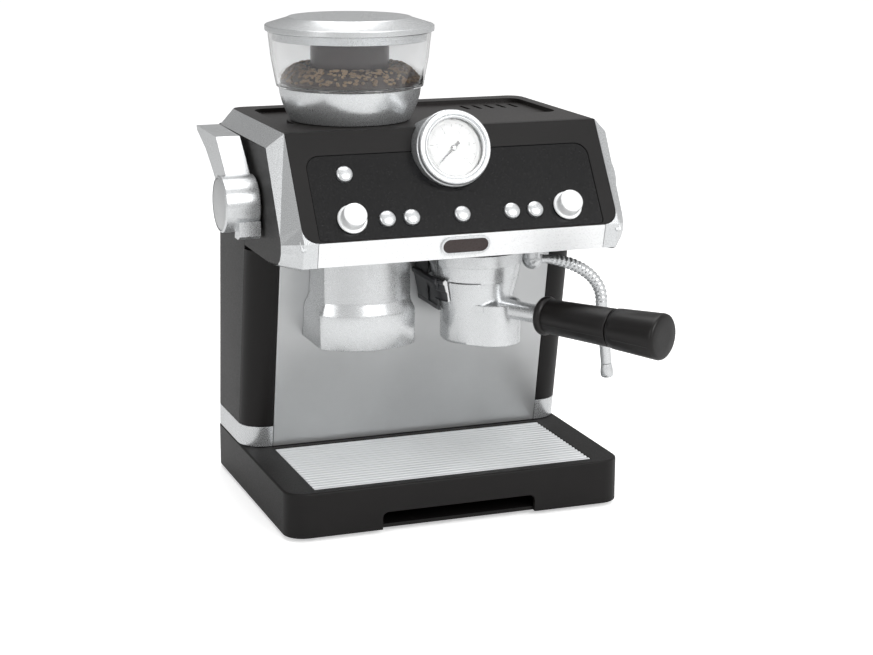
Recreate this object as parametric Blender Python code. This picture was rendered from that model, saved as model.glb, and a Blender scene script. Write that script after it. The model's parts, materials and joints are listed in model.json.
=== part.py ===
"""Toy espresso coffee maker: a counter-top bean-to-cup machine for play, about 0.6 of real size.

Units are metres, +Z up. In the layout below x = 0 is the middle of the machine, y = 0 is the plane
through the two outlets, with the front at -y, and z = 0 is the floor. At the end everything is moved
so that the middle of the bottom of the whole bounding box is the origin.
"""

import math

import bmesh
import bpy
from mathutils import Matrix, Vector

# Clearances and moulded walls
GAP = 0.0003
OVERRUN = 0.003
WALL = 0.0024
SPINDLE_CLEARANCE = 0.0003
FEW_SIDES = 16
SIDES = 28
MANY_SIDES = 40

# Body: side view
BODY_HALF_WIDTH = 0.104
BODY_HEIGHT = 0.2298
TRIM_CHAMFER = 0.0094
STRIP_BOTTOM_Y = -0.0462
STRIP_BOTTOM_Z = 0.1596
FASCIA_FOOT_Y = -0.0493
FASCIA_FOOT_Z = 0.1740
FASCIA_TILT = math.radians(33.24)
HEAD_FLOOR_Z = 0.1550
HEAD_FLOOR_FRONT_Y = -0.0205
BACKSPLASH_FOOT_Y = 0.0500
BACKSPLASH_TOP_Y = 0.0275
REAR_TOP_Y = 0.1042
REAR_HEAD_Y = 0.1062
REAR_HEAD_Z = 0.1740
REAR_WAIST_Y = 0.1113
REAR_WAIST_Z = 0.1100
REAR_FOOT_Y = 0.1180
COLUMN_CORNER = 0.0150
REAR_CORNER = 0.0110
TRIM_THICKNESS = 0.0032
TRIM_DROP = 0.0083
TRIM_BACK_Y = 0.0920
TRIM_BACK_SLANT = 0.0050
HEAD_CHIN_Y = -0.0362
HEAD_CHIN_Z = 0.1700
HEAD_CHIN_RADIUS = 0.0115

# Front strip and badge
STRIP_HALF_WIDTH = 0.0861
BADGE_HALF_LENGTH = 0.0147
BADGE_HALF_HEIGHT = 0.0052
BADGE_PROUD = 0.0014
BADGE_RIM = 0.0011
BADGE_RECESS = 0.0005
FASCIA_CORNER = 0.0090

# Base and drip tray
BASE_FRONT_Y = -0.0437
BASE_REAR_Y = 0.1195
BASE_TOP_Z = 0.0291
SKIRT_BOTTOM_Z = 0.0025
BASE_CORNER = 0.0120
BASE_EDGE = 0.0008
NOTCH_HALF_WIDTH = 0.0474
NOTCH_TOP_Z = 0.0129
NOTCH_CORNER = 0.0035
GRILLE_HALF_WIDTH = 0.0861
GRILLE_FRONT_Y = -0.0368
GRILLE_REAR_Y = 0.0454
GRILLE_RIBS = 19
GRILLE_SKIN = 0.0012
GRILLE_RIM_DEPTH = 0.0036
RIB_HEIGHT = 0.0012
TRAY_FLOOR = 0.0026
PLATE_THICKNESS = 0.0022
FOOT_RADIUS = 0.0085
FOOT_INSET_X = 0.0230
FOOT_INSET_Y = 0.0200
RING_TOP_Z = 0.0425

# Battery box
BATTERY_RADIUS = 0.00725
BATTERY_LENGTH = 0.0492
BATTERY_TIP_RADIUS = 0.0027
BATTERY_TIP = 0.0013
BATTERY_PITCH = 0.0152
BATTERY_FRONT_Y = 0.0520
BATTERY_WALL_HEIGHT = 0.0120
CONTACT_THICKNESS = 0.0008
CONTACT_ROOM = 0.0035
DOOR_MARGIN = 0.0040
DOOR_SCREW_RADIUS = 0.0028
DOOR_SCREW_LENGTH = 0.0065
DOOR_SCREW_SHANK = 0.0014

# Speaker
SPEAKER_RADIUS = 0.0180
SPEAKER_MAGNET_RADIUS = 0.0090
SPEAKER_HEIGHT = 0.0070
SPEAKER_FLANGE = 0.0020
SPEAKER_Y = 0.0050
SPEAKER_SLOT_RADIUS = 0.0014

# Top, cup rest and hopper
TOP_THICKNESS = 0.0024
TOP_RIM_DEPTH = 0.0060
RECESS_LEFT_X = -0.0845
RECESS_RIGHT_X = 0.0880
RECESS_FRONT_Y = 0.0240
RECESS_REAR_Y = 0.0920
RECESS_CORNER = 0.0080
RECESS_DEPTH = 0.0026
HOPPER_X = -0.0413
HOPPER_Y = 0.0326
HOPPER_FOOT_RADIUS = 0.0346
HOPPER_RIM_RADIUS = 0.0416
HOPPER_RIM_Z = 0.2495
HOPPER_FLOOR_Z = 0.2420
HOPPER_BORE_RADIUS = 0.0372
BIN_FOOT_RADIUS = 0.0430
BIN_RIM_RADIUS = 0.0476
BIN_RIM_Z = 0.2812
BIN_WALL = 0.0017
TUBE_RADIUS = 0.0230
TUBE_WALL = 0.0015
BEAN_CREST_RADIUS = 0.0320
BEAN_CREST_Z = 0.2615
BEAN_EDGE_Z = 0.2530
BEAN_DIP_Z = 0.2555
LID_RADIUS = 0.0492
LID_BAND = 0.0032
LID_SHOULDER_RADIUS = 0.0365
LID_SHOULDER_RISE = 0.0040
LID_CROWN = 0.0008
LID_WALL = 0.0020
LID_SPIGOT = 0.0050

# Console
CONSOLE_HALF_WIDTH = 0.0853
CONSOLE_LOW = 0.0012
CONSOLE_HIGH = 0.0520
CONSOLE_CORNER = 0.0080
CONSOLE_THICKNESS = 0.0016
CONSOLE_SINK = 0.0003
KNOB_X = 0.0649
KNOB_RISE = 0.0130
KNOB_SKIRT_RADIUS = 0.0085
KNOB_SKIRT_HEIGHT = 0.0016
KNOB_CAP_RADIUS = 0.0069
KNOB_HEIGHT = 0.0082
KNOB_RIDGE_WIDTH = 0.0022
KNOB_RIDGE_PROUD = 0.0008
SPINDLE_RADIUS = 0.0030
BUTTON_RADIUS = 0.0047
BUTTON_PROUD = 0.0026
BUTTON_TRAVEL = 0.0015
BUTTON_RISE = 0.0120
BUTTON_OUTER_X = 0.04455
BUTTON_INNER_X = 0.03017
POWER_BUTTON_X = -0.0645
POWER_BUTTON_RISE = 0.0402
BUTTON_STEM_RADIUS = 0.0022
BUTTON_RETAINER = 0.0008
BOARD_HALF_LENGTH = 0.0790
BOARD_LOW = 0.0040
BOARD_HIGH = 0.0450
BOARD_THICKNESS = 0.0016
BOARD_DEPTH = 0.0100
POST_RADIUS = 0.0030

# Pressure gauge
GAUGE_Y = -0.03275
GAUGE_Z = 0.2208
GAUGE_TILT = math.radians(17.0)
GAUGE_RADIUS = 0.0215
GAUGE_DRUM_RADIUS = 0.0221
GAUGE_DRUM_LENGTH = 0.0330
BEZEL_DEPTH = 0.0036
BEZEL_BORE_RADIUS = 0.0165
BEZEL_STEP_RADIUS = 0.0188
DIAL_RADIUS = 0.0180
DIAL_THICKNESS = 0.0010
DIAL_DEPTH = 0.0048
NEEDLE_LENGTH = 0.0122
NEEDLE_TAIL = 0.0048
NEEDLE_HALF_WIDTH = 0.0007
NEEDLE_HUB_RADIUS = 0.0017
NEEDLE_THICKNESS = 0.0006
NEEDLE_ANGLE = math.radians(222.0)
LENS_THICKNESS = 0.0009
LENS_SEAT = 0.0012

# Grinder outlet
GRINDER_X = -0.0412
GRINDER_HALF_WIDTH = 0.0292
GRINDER_ARC_RADIUS = 0.0413
GRINDER_NECK_INSET = 0.0028
GRINDER_BOTTOM_Z = 0.1005
GRINDER_STEP_Z = 0.1210
GRINDER_NECK_Z = 0.1275

# Group head and portafilter
GROUP_X = 0.0254
GROUP_FLANGE_RADIUS = 0.0279
GROUP_FLANGE_Z = 0.1478
GROUP_BAND_RADIUS = 0.0252
GROUP_BAND_Z = 0.1384
GROUP_CORE_RADIUS = 0.0185
BRACKET_CLEARANCE = 0.0005
BRACKET_WALL = 0.0018
BRACKET_BEAD = 0.0012
BRACKET_FRONT_Y = -0.0085
BRACKET_RIGHT_FRONT_Y = 0.0060
BRACKET_BOTTOM_Z = 0.1190
COLLAR_NECK_RADIUS = 0.0208
COLLAR_NECK_Z = 0.1190
BASKET_RADIUS = 0.0199
BASKET_BOTTOM_Z = 0.1006
BASKET_RIM_Z = 0.1250
BASKET_OFFSET = 0.0137
BASKET_WALL = 0.0020
BASKET_FLOOR = 0.0040
HANDLE_BEARING = math.radians(-58.9)
HANDLE_Z = 0.1215
NECK_HALF_WIDTH = 0.0065
NECK_HALF_HEIGHT = 0.0056
NECK_END = 0.0492
GRIP_FLANGE_RADIUS = 0.0113
GRIP_FLANGE = 0.0040
GRIP_START_RADIUS = 0.0100
GRIP_END_RADIUS = 0.0113
GRIP_START = 0.0495
GRIP_END = 0.0985
CAP_START_RADIUS = 0.0118
CAP_END_RADIUS = 0.0133
CAP_LENGTH = 0.0330
CAP_EDGE = 0.0020
SPOUT_RADIUS = 0.0040
SPOUT_SPACING = 0.0070
SPOUT_LENGTH = 0.0030
PORTAFILTER_PIN_RADIUS = 0.0060

# Steam wand
WAND_X = 0.0620
WAND_BALL_Z = 0.1455
WAND_BALL_RADIUS = 0.0062
WAND_TUBE_RADIUS = 0.0031
WAND_RIB_RADIUS = 0.0035
WAND_RIB_PITCH = 0.0028
WAND_REACH = 0.0462
WAND_DROP = 0.0690
WAND_SPREAD = 0.0045
WAND_TIP_RADIUS = 0.0040
WAND_TIP_LENGTH = 0.0085
WAND_TIP_BORE = 0.0012
SOCKET_RADIUS = 0.0080
SOCKET_LIP = 0.0018

# Side lever and steam knob
HUB_Y = 0.0160
HUB_Z = 0.1870
HUB_RADIUS = 0.0163
HUB_LENGTH = 0.0205
HUB_STANDOFF = 0.0006
LEVER_INNER = 0.0020
LEVER_WIDTH = 0.0140
LEVER_TOP_Z = 0.2222
LEVER_FRONT_Y = 0.0375
LEVER_BACK_Y = 0.0840
LEVER_BLADE = 0.0030
TAB_WIDTH = 0.0132
TAB_HEIGHT = 0.0105
TAB_PROUD = 0.0030
HUB_CAP_RADIUS = 0.0148
HUB_CAP_THICKNESS = 0.0012
AXLE_RADIUS = 0.0040
AXLE_RETAINER_RADIUS = 0.0070
AXLE_RETAINER = 0.0016
STEAM_KNOB_RADIUS = 0.0160
STEAM_KNOB_LENGTH = 0.0127
STEAM_KNOB_EDGE = 0.0030

# Worked out from the sizes above
FASCIA_SLOPE = (BODY_HEIGHT - FASCIA_FOOT_Z) / math.cos(FASCIA_TILT)
FASCIA_TOP_Y = FASCIA_FOOT_Y + FASCIA_SLOPE * math.sin(FASCIA_TILT)
INNER_HALF_WIDTH = BODY_HALF_WIDTH - TRIM_CHAMFER
COLUMN_INNER_X = STRIP_HALF_WIDTH + GAP
FASCIA_UP = Vector((0, math.sin(FASCIA_TILT), math.cos(FASCIA_TILT)))
FASCIA_OUT = Vector((0, -math.cos(FASCIA_TILT), math.sin(FASCIA_TILT)))
FASCIA_TURN = (math.pi / 2 - FASCIA_TILT, 0, 0)
GAUGE_TURN = (math.pi / 2 - GAUGE_TILT, 0, 0)
PLATE_BOTTOM_Z = SKIRT_BOTTOM_Z + GAP
PLATE_TOP_Z = PLATE_BOTTOM_Z + PLATE_THICKNESS
BATTERY_Z = PLATE_TOP_Z + BATTERY_RADIUS + GAP
HUB_INNER_X = BODY_HALF_WIDTH + HUB_STANDOFF

BLACK = ("matte_black_plastic", (0.018, 0.016, 0.016), 0.55, 0.0)
GLOSS = ("gloss_black_plastic", (0.012, 0.011, 0.011), 0.2, 0.0)
SILVER = ("silver_plastic", (0.62, 0.63, 0.64), 0.32, 0.75)
SATIN = ("satin_silver_plastic", (0.55, 0.57, 0.58), 0.38, 0.6)
GREY = ("dark_grey_plastic", (0.06, 0.06, 0.065), 0.5, 0.0)
RUBBER = ("black_rubber", (0.02, 0.02, 0.02), 0.9, 0.0)
CLEAR = ("clear_plastic", (0.9, 0.92, 0.93), 0.05, 0.0)
SMOKE = ("smoky_brown_plastic", (0.08, 0.045, 0.035), 0.15, 0.0)
BEAN = ("bean_brown_plastic", (0.12, 0.06, 0.035), 0.5, 0.0)
WHITE = ("dial_white", (0.85, 0.85, 0.84), 0.4, 0.0)
STEEL = ("bright_steel", (0.7, 0.7, 0.7), 0.25, 1.0)
BOARD_GREEN = ("circuit_board_green", (0.02, 0.12, 0.05), 0.4, 0.0)
CELL = ("battery_sleeve", (0.05, 0.08, 0.2), 0.3, 0.3)


def material(look):
    """The Principled material of this look, made once."""
    name, colour, roughness, metallic = look
    found = bpy.data.materials.get(name)
    if found:
        return found
    made = bpy.data.materials.new(name)
    made.use_nodes = True
    shader = made.node_tree.nodes["Principled BSDF"]
    shader.inputs["Base Color"].default_value = (*colour, 1)
    shader.inputs["Roughness"].default_value = roughness
    shader.inputs["Metallic"].default_value = metallic
    made.diffuse_color = (*colour, 1)
    return made


def loft(rings, closed=False):
    """A mesh through rings of equal count, with both ends capped, or joined end to end when closed."""
    bm = bmesh.new()
    rows = [[bm.verts.new(point) for point in ring] for ring in rings]
    pairs = list(zip(rows, rows[1:]))
    if closed:
        pairs.append((rows[-1], rows[0]))
    for low, high in pairs:
        for i in range(len(low)):
            j = (i + 1) % len(low)
            bm.faces.new((low[i], low[j], high[j], high[i]))
    if not closed:
        bm.faces.new(list(reversed(rows[0])))
        bm.faces.new(rows[-1])
    bmesh.ops.recalc_face_normals(bm, faces=bm.faces)
    return bm


def add(name, bm, look, place=(0, 0, 0), turn=(0, 0, 0), smooth=True):
    """An object of this mesh."""
    if bm.calc_volume(signed=True) < 0:
        bmesh.ops.reverse_faces(bm, faces=bm.faces)
    mesh = bpy.data.meshes.new(name)
    bm.to_mesh(mesh)
    bm.free()
    mesh.materials.append(material(look))
    if smooth:
        mesh.shade_smooth()
        mesh.set_sharp_from_angle(angle=math.radians(28))
    made = bpy.data.objects.new(name, mesh)
    made.location = place
    made.rotation_euler = turn
    bpy.context.scene.collection.objects.link(made)
    return made


def helper(bm, place=(0, 0, 0), turn=(0, 0, 0)):
    """A hidden object that cuts or joins another."""
    made = add("helper", bm, GREY, place, turn, smooth=False)
    made.hide_render = True
    made.display_type = "WIRE"
    return made


def boolean(target, other, operation):
    modifier = target.modifiers.new(operation.title(), "BOOLEAN")
    modifier.object = other
    modifier.operation = operation
    modifier.solver = "EXACT"


def cut(target, bm, place=(0, 0, 0), turn=(0, 0, 0)):
    boolean(target, helper(bm, place, turn), "DIFFERENCE")


def join(target, bm, place=(0, 0, 0), turn=(0, 0, 0)):
    boolean(target, helper(bm, place, turn), "UNION")


def prism(outline, start, end, axis="X"):
    """An outline of two coordinates, carried along the third from start to end."""
    rings = []
    for value in (start, end):
        if axis == "X":
            rings.append([(value, a, b) for a, b in outline])
        elif axis == "Y":
            rings.append([(a, value, b) for a, b in outline])
        else:
            rings.append([(a, b, value) for a, b in outline])
    return loft(rings)


def box(low, high):
    outline = [(low[0], low[1]), (high[0], low[1]), (high[0], high[1]), (low[0], high[1])]
    return prism(outline, low[2], high[2], "Z")


def arc(centre, radius, start, end, steps):
    """Points on a circle from one angle to another, in degrees."""
    found = []
    for i in range(steps + 1):
        angle = math.radians(start + (end - start) * i / steps)
        found.append((centre[0] + radius * math.cos(angle), centre[1] + radius * math.sin(angle)))
    return found


def rounded(x0, x1, y0, y1, radius, steps=5):
    """A rectangle with round corners, anticlockwise."""
    return (
        arc((x1 - radius, y0 + radius), radius, -90, 0, steps)
        + arc((x1 - radius, y1 - radius), radius, 0, 90, steps)
        + arc((x0 + radius, y1 - radius), radius, 90, 180, steps)
        + arc((x0 + radius, y0 + radius), radius, 180, 270, steps)
    )


def turned(profile, sides=SIDES, along="Z"):
    """A profile of (radius, height) turned round an axis. It ends on the axis or is a closed loop."""
    rings = []
    for k in range(sides):
        angle = 2 * math.pi * k / sides
        cosine, sine = math.cos(angle), math.sin(angle)
        if along == "Z":
            rings.append([(r * cosine, r * sine, h) for r, h in profile])
        else:
            rings.append([(h, r * cosine, r * sine) for r, h in profile])
    bm = loft(rings, closed=True)
    bmesh.ops.remove_doubles(bm, verts=bm.verts, dist=1e-7)
    bmesh.ops.recalc_face_normals(bm, faces=bm.faces)
    return bm


def disc(radius, low, high, sides=SIDES, along="Z"):
    return turned([(0, low), (radius, low), (radius, high), (0, high)], sides, along)


def on_fascia(x, rise, out=0.0):
    """A place on the sloping front: across, up the slope and out from its face."""
    foot = Vector((x, FASCIA_FOOT_Y, FASCIA_FOOT_Z))
    return foot + FASCIA_UP * rise + FASCIA_OUT * out


def blend(a, b, share):
    return a + (b - a) * share


def backsplash_y(z):
    """Where the leaning front face of the backsplash and columns is at this height."""
    return blend(BACKSPLASH_FOOT_Y, BACKSPLASH_TOP_Y, (z - BASE_TOP_Z) / (HEAD_FLOOR_Z - BASE_TOP_Z))


def rear_y(z):
    """Where the back face is at this height."""
    places = [
        (BASE_TOP_Z, REAR_FOOT_Y),
        (REAR_WAIST_Z, REAR_WAIST_Y),
        (REAR_HEAD_Z, REAR_HEAD_Y),
        (BODY_HEIGHT, REAR_TOP_Y),
    ]
    for (low, a), (high, b) in zip(places, places[1:]):
        if z <= high:
            return blend(a, b, (z - low) / (high - low))
    return REAR_TOP_Y


def trim_paths():
    """The trim's two long edges in side view: the outer one on the side, the inner one on the front and top."""
    chin = (HEAD_CHIN_Y + HEAD_CHIN_RADIUS, HEAD_CHIN_Z)
    slope = math.degrees(FASCIA_TILT)
    start = HEAD_FLOOR_FRONT_Y + HEAD_CHIN_RADIUS
    outer = [(start, HEAD_FLOOR_Z + GAP + TRIM_THICKNESS / 2)]
    outer += arc(chin, HEAD_CHIN_RADIUS, 270, 180 - slope, 5)
    top_y = FASCIA_TOP_Y + TRIM_DROP * math.tan((math.pi / 2 - FASCIA_TILT) / 2)
    outer.append((top_y, BODY_HEIGHT - TRIM_DROP))
    outer.append((TRIM_BACK_Y, BODY_HEIGHT - TRIM_DROP))
    heel = STRIP_BOTTOM_Y + HEAD_CHIN_RADIUS
    inner = [(start, HEAD_FLOOR_Z + GAP), (HEAD_FLOOR_FRONT_Y, HEAD_FLOOR_Z + GAP)]
    inner.append((blend(heel, STRIP_BOTTOM_Y, 0.6), blend(HEAD_FLOOR_Z, STRIP_BOTTOM_Z, 0.6)))
    inner.append((STRIP_BOTTOM_Y, STRIP_BOTTOM_Z))
    inner.append((blend(STRIP_BOTTOM_Y, FASCIA_FOOT_Y, 0.6), blend(STRIP_BOTTOM_Z, FASCIA_FOOT_Z, 0.6)))
    inner.append((FASCIA_FOOT_Y, FASCIA_FOOT_Z))
    inner.append((blend(FASCIA_FOOT_Y, FASCIA_TOP_Y, 0.15), blend(FASCIA_FOOT_Z, BODY_HEIGHT, 0.15)))
    inner.append((FASCIA_TOP_Y, BODY_HEIGHT))
    inner.append((TRIM_BACK_Y + TRIM_BACK_SLANT, BODY_HEIGHT))
    return outer, inner


def offset_inward(path, distance):
    """The path moved towards the inside of the head, each point along the bisector of its neighbours."""
    moved = []
    for i, point in enumerate(path):
        before = Vector(path[max(i - 1, 0)])
        after = Vector(path[min(i + 1, len(path) - 1)])
        ahead = (after - before).normalized()
        moved.append((point[0] + ahead.y * distance, point[1] - ahead.x * distance))
    return moved


def mirrored(name_left, name_right, build):
    """The same piece on both sides: build(name, side) with side -1 on the left and 1 on the right."""
    return build(name_left, -1), build(name_right, 1)


def column_ring(z, side):
    """The front of a column in plan, with its end inside the side wall so that the two join."""
    front = backsplash_y(z)
    centre = (BODY_HALF_WIDTH - COLUMN_CORNER, front + COLUMN_CORNER)
    behind = front + COLUMN_CORNER + WALL
    path = [(COLUMN_INNER_X, front)] + arc(centre, COLUMN_CORNER, -90, -6, 6)
    path.append((BODY_HALF_WIDTH - GAP, behind))
    inside = [(COLUMN_INNER_X, front + WALL)] + arc(centre, COLUMN_CORNER - WALL, -90, -12, 6)
    inside.append((BODY_HALF_WIDTH - WALL + GAP, behind))
    return [(side * x, y, z) for x, y in path + inside[::-1]]


def side_ring(z, side, from_column=True):
    """The side wall in plan, round the rear corner, with the front of its column when it starts from there."""
    front = backsplash_y(z)
    start = front + COLUMN_CORNER - WALL / 2
    path, inside = [(BODY_HALF_WIDTH, start)], [(BODY_HALF_WIDTH - WALL, start)]
    if from_column:
        centre = (BODY_HALF_WIDTH - COLUMN_CORNER, front + COLUMN_CORNER)
        path = [(COLUMN_INNER_X, front)] + arc(centre, COLUMN_CORNER, -90, 0, 6)
        inside = [(COLUMN_INNER_X, front + WALL)] + arc(centre, COLUMN_CORNER - WALL, -90, 0, 6)
    rear = (BODY_HALF_WIDTH - REAR_CORNER, rear_y(z) - REAR_CORNER)
    path += arc(rear, REAR_CORNER, 0, 90, 5)
    inside += arc(rear, REAR_CORNER - WALL, 0, 90, 5)
    return [(side * x, y, z) for x, y in path + inside[::-1]]


def side_panel(name, side):
    """Side wall, column front and the cheek of the head, in one moulding."""
    foot = RING_TOP_Z + GAP
    ledge = BODY_HEIGHT - TRIM_DROP - GAP
    walls = (foot, REAR_WAIST_Z, REAR_HEAD_Z, ledge)
    panel = add(name, loft([side_ring(z, side, False) for z in walls]), BLACK)
    join(panel, loft([column_ring(z, side) for z in (foot, HEAD_FLOOR_Z - GAP)]))
    outer = trim_paths()[0]
    back = backsplash_y(HEAD_FLOOR_Z) + COLUMN_CORNER * 2
    sunk = GAP / 4
    cheek = offset_inward(outer, GAP + sunk)
    cheek = [(cheek[0][0] + GAP, cheek[0][1])] + cheek[1:-1] + [(back, ledge - sunk), (back, cheek[0][1])]
    join(panel, prism(cheek, side * (BODY_HALF_WIDTH - sunk), side * (BODY_HALF_WIDTH - TRIM_THICKNESS)))
    rear = rear_y(ledge)
    centre = (BODY_HALF_WIDTH - REAR_CORNER, rear - REAR_CORNER)
    cap = arc(centre, REAR_CORNER - WALL / 2, 0, 90, 5) + [(centre[0], TRIM_BACK_Y - WALL)]
    cap.append((BODY_HALF_WIDTH - WALL / 2, TRIM_BACK_Y - WALL))
    join(panel, prism([(side * x, y) for x, y in cap], ledge - WALL, ledge - sunk, "Z"))
    hole = AXLE_RADIUS + SPINDLE_CLEARANCE
    inner, outside = BODY_HALF_WIDTH - TRIM_THICKNESS - OVERRUN, BODY_HALF_WIDTH + OVERRUN
    cut(panel, disc(hole, side * inner, side * outside, FEW_SIDES, "X"), (0, HUB_Y, HUB_Z))
    return panel


def foot_ring(name, side):
    """The silver band round the foot of a column, along the side and round the rear corner."""
    heights = (BASE_TOP_Z + GAP, RING_TOP_Z)
    return add(name, loft([side_ring(z, side) for z in heights]), SILVER)


def strip_section():
    """The front strip in side view, with its top edge square to the fascia."""
    return [
        (STRIP_BOTTOM_Y, STRIP_BOTTOM_Z),
        (FASCIA_FOOT_Y, FASCIA_FOOT_Z),
        (
            FASCIA_FOOT_Y + TRIM_THICKNESS * math.cos(FASCIA_TILT),
            FASCIA_FOOT_Z - TRIM_THICKNESS * math.sin(FASCIA_TILT),
        ),
        (STRIP_BOTTOM_Y + TRIM_THICKNESS, STRIP_BOTTOM_Z),
    ]


def trim(name, side):
    """The silver band along one edge of the head, with the end of the front strip and the fascia's round corner."""
    outer, inner = trim_paths()
    within = offset_inward(inner, TRIM_THICKNESS)
    rings = []
    for a, b, c in zip(outer, inner, within):
        rings.append([
            (side * BODY_HALF_WIDTH, *a),
            (side * INNER_HALF_WIDTH, *b),
            (side * INNER_HALF_WIDTH, *c),
            (side * (BODY_HALF_WIDTH - TRIM_THICKNESS), *a),
        ])
    band = add(name, loft(rings), SILVER)
    end = prism(strip_section(), side * (STRIP_HALF_WIDTH + GAP), side * INNER_HALF_WIDTH)
    join(band, end)
    corner = (side * (INNER_HALF_WIDTH - FASCIA_CORNER), FASCIA_CORNER)
    angles = (-90, 0) if side > 0 else (-90, -180)
    fillet = arc(corner, FASCIA_CORNER, *angles, 6) + [(side * INNER_HALF_WIDTH, 0)]
    join(band, prism(fillet, -TRIM_THICKNESS, 0, "Z"), on_fascia(0, 0), FASCIA_TURN)
    low = (side * (INNER_HALF_WIDTH - TRIM_THICKNESS / 2), -TRIM_THICKNESS, -TRIM_THICKNESS * 0.9)
    high = (side * (INNER_HALF_WIDTH + TRIM_THICKNESS / 2), FASCIA_CORNER * 0.3, -TRIM_THICKNESS * 0.55)
    join(band, box([min(p) for p in zip(low, high)], [max(p) for p in zip(low, high)]), on_fascia(0, 0), FASCIA_TURN)
    return band


def front_strip():
    strip = add("front_strip", prism(strip_section(), -STRIP_HALF_WIDTH, STRIP_HALF_WIDTH), SILVER)
    return strip


def badge():
    """A bare pill-shaped plate on the strip, with a raised rim."""
    lean = math.atan2(STRIP_BOTTOM_Y - FASCIA_FOOT_Y, FASCIA_FOOT_Z - STRIP_BOTTOM_Z)
    share = 0.56
    place = (0, blend(STRIP_BOTTOM_Y, FASCIA_FOOT_Y, share), blend(STRIP_BOTTOM_Z, FASCIA_FOOT_Z, share))
    turn = (math.pi / 2 + lean, 0, 0)

    def pill(inset):
        height, length = BADGE_HALF_HEIGHT - inset, BADGE_HALF_LENGTH - inset
        return rounded(-length, length, -height, height, height * 0.999, 7)

    plate = add("badge", prism(pill(0), GAP, BADGE_PROUD, "Z"), SILVER, place, turn)
    cut(plate, prism(pill(BADGE_RIM), BADGE_PROUD - BADGE_RECESS, BADGE_PROUD + OVERRUN, "Z"), place, turn)
    return plate


def fascia():
    """The sloping black front of the head, with the console's recess, the gauge's hole and posts behind."""
    half = INNER_HALF_WIDTH - GAP
    outline = arc((half - FASCIA_CORNER, FASCIA_CORNER + GAP), FASCIA_CORNER, -90, 0, 6)
    top = FASCIA_SLOPE + TRIM_THICKNESS
    outline += [(half, top), (-half, top)]
    outline += arc((FASCIA_CORNER - half, FASCIA_CORNER + GAP), FASCIA_CORNER, 180, 270, 6)
    place, turn = on_fascia(0, 0), FASCIA_TURN
    plate = add("fascia", prism(outline, -TRIM_THICKNESS, 0, "Z"), BLACK, place, turn)
    recess = console_outline(-GAP)
    depth = CONSOLE_THICKNESS + CONSOLE_SINK + GAP
    cut(plate, prism(recess, -depth, OVERRUN, "Z"), place, turn)
    for x, rise, radius in control_places():
        cut(plate, disc(radius, -TRIM_THICKNESS - OVERRUN, OVERRUN, FEW_SIDES), on_fascia(x, rise), turn)
    for x in (BOARD_LOW - BOARD_HALF_LENGTH, BOARD_HALF_LENGTH - BOARD_LOW):
        for rise in (BOARD_LOW + POST_RADIUS, BOARD_HIGH - POST_RADIUS):
            post = disc(POST_RADIUS, GAP - BOARD_DEPTH, -TRIM_THICKNESS / 2 - depth / 2, FEW_SIDES)
            join(plate, post, on_fascia(x, rise), turn)
    cut_for_gauge(plate)
    above = (FASCIA_TOP_Y - TRIM_THICKNESS * 2, FASCIA_TOP_Y + TRIM_THICKNESS * 3)
    cut(plate, box((-BODY_HALF_WIDTH, above[0], BODY_HEIGHT), (BODY_HALF_WIDTH, above[1], BODY_HEIGHT + OVERRUN * 2)))
    return plate


def console_outline(inset):
    low, high = CONSOLE_LOW + inset, CONSOLE_HIGH - inset
    half = CONSOLE_HALF_WIDTH - inset
    top = CONSOLE_CORNER
    outline = arc((half - WALL, low + WALL), WALL, -90, 0, 3)
    outline += arc((half - top, high - top), top, 0, 90, 6)
    outline += arc((top - half, high - top), top, 90, 180, 6)
    outline += arc((WALL - half, low + WALL), WALL, 180, 270, 3)
    return outline


def control_places():
    """Every hole for a knob's spindle or a button: across, up the slope and its radius."""
    button = BUTTON_RADIUS + SPINDLE_CLEARANCE
    found = [(side * KNOB_X, KNOB_RISE, SPINDLE_RADIUS + SPINDLE_CLEARANCE) for side in (-1, 1)]
    found += [(x, rise, button) for name, x, rise in button_places()]
    return found


def button_places():
    return [
        ("power_button", POWER_BUTTON_X, POWER_BUTTON_RISE),
        ("left_outer_button", -BUTTON_OUTER_X, BUTTON_RISE),
        ("left_inner_button", -BUTTON_INNER_X, BUTTON_RISE),
        ("centre_button", 0, BUTTON_RISE),
        ("right_inner_button", BUTTON_INNER_X, BUTTON_RISE),
        ("right_outer_button", BUTTON_OUTER_X, BUTTON_RISE),
    ]


def cut_for_gauge(target):
    hole = disc(GAUGE_DRUM_RADIUS + GAP, -GAUGE_DRUM_LENGTH - GAP * 2, OVERRUN, MANY_SIDES)
    cut(target, hole, (0, GAUGE_Y, GAUGE_Z), GAUGE_TURN)


def console_panel():
    place, turn = on_fascia(0, 0), FASCIA_TURN
    outline = console_outline(0)
    thickness = (-CONSOLE_THICKNESS - CONSOLE_SINK, -CONSOLE_SINK)
    panel = add("console_panel", prism(outline, *thickness, "Z"), GLOSS, place, turn)
    for x, rise, radius in control_places():
        cut(panel, disc(radius, -TRIM_THICKNESS, OVERRUN, FEW_SIDES), on_fascia(x, rise), turn)
    cut_for_gauge(panel)
    return panel


def circuit_board():
    low = (-BOARD_HALF_LENGTH, BOARD_LOW, -BOARD_DEPTH - BOARD_THICKNESS)
    high = (BOARD_HALF_LENGTH, BOARD_HIGH, -BOARD_DEPTH)
    board = add("circuit_board", box(low, high), BOARD_GREEN, on_fascia(0, 0), FASCIA_TURN)
    cut_for_gauge(board)
    return board


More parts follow.
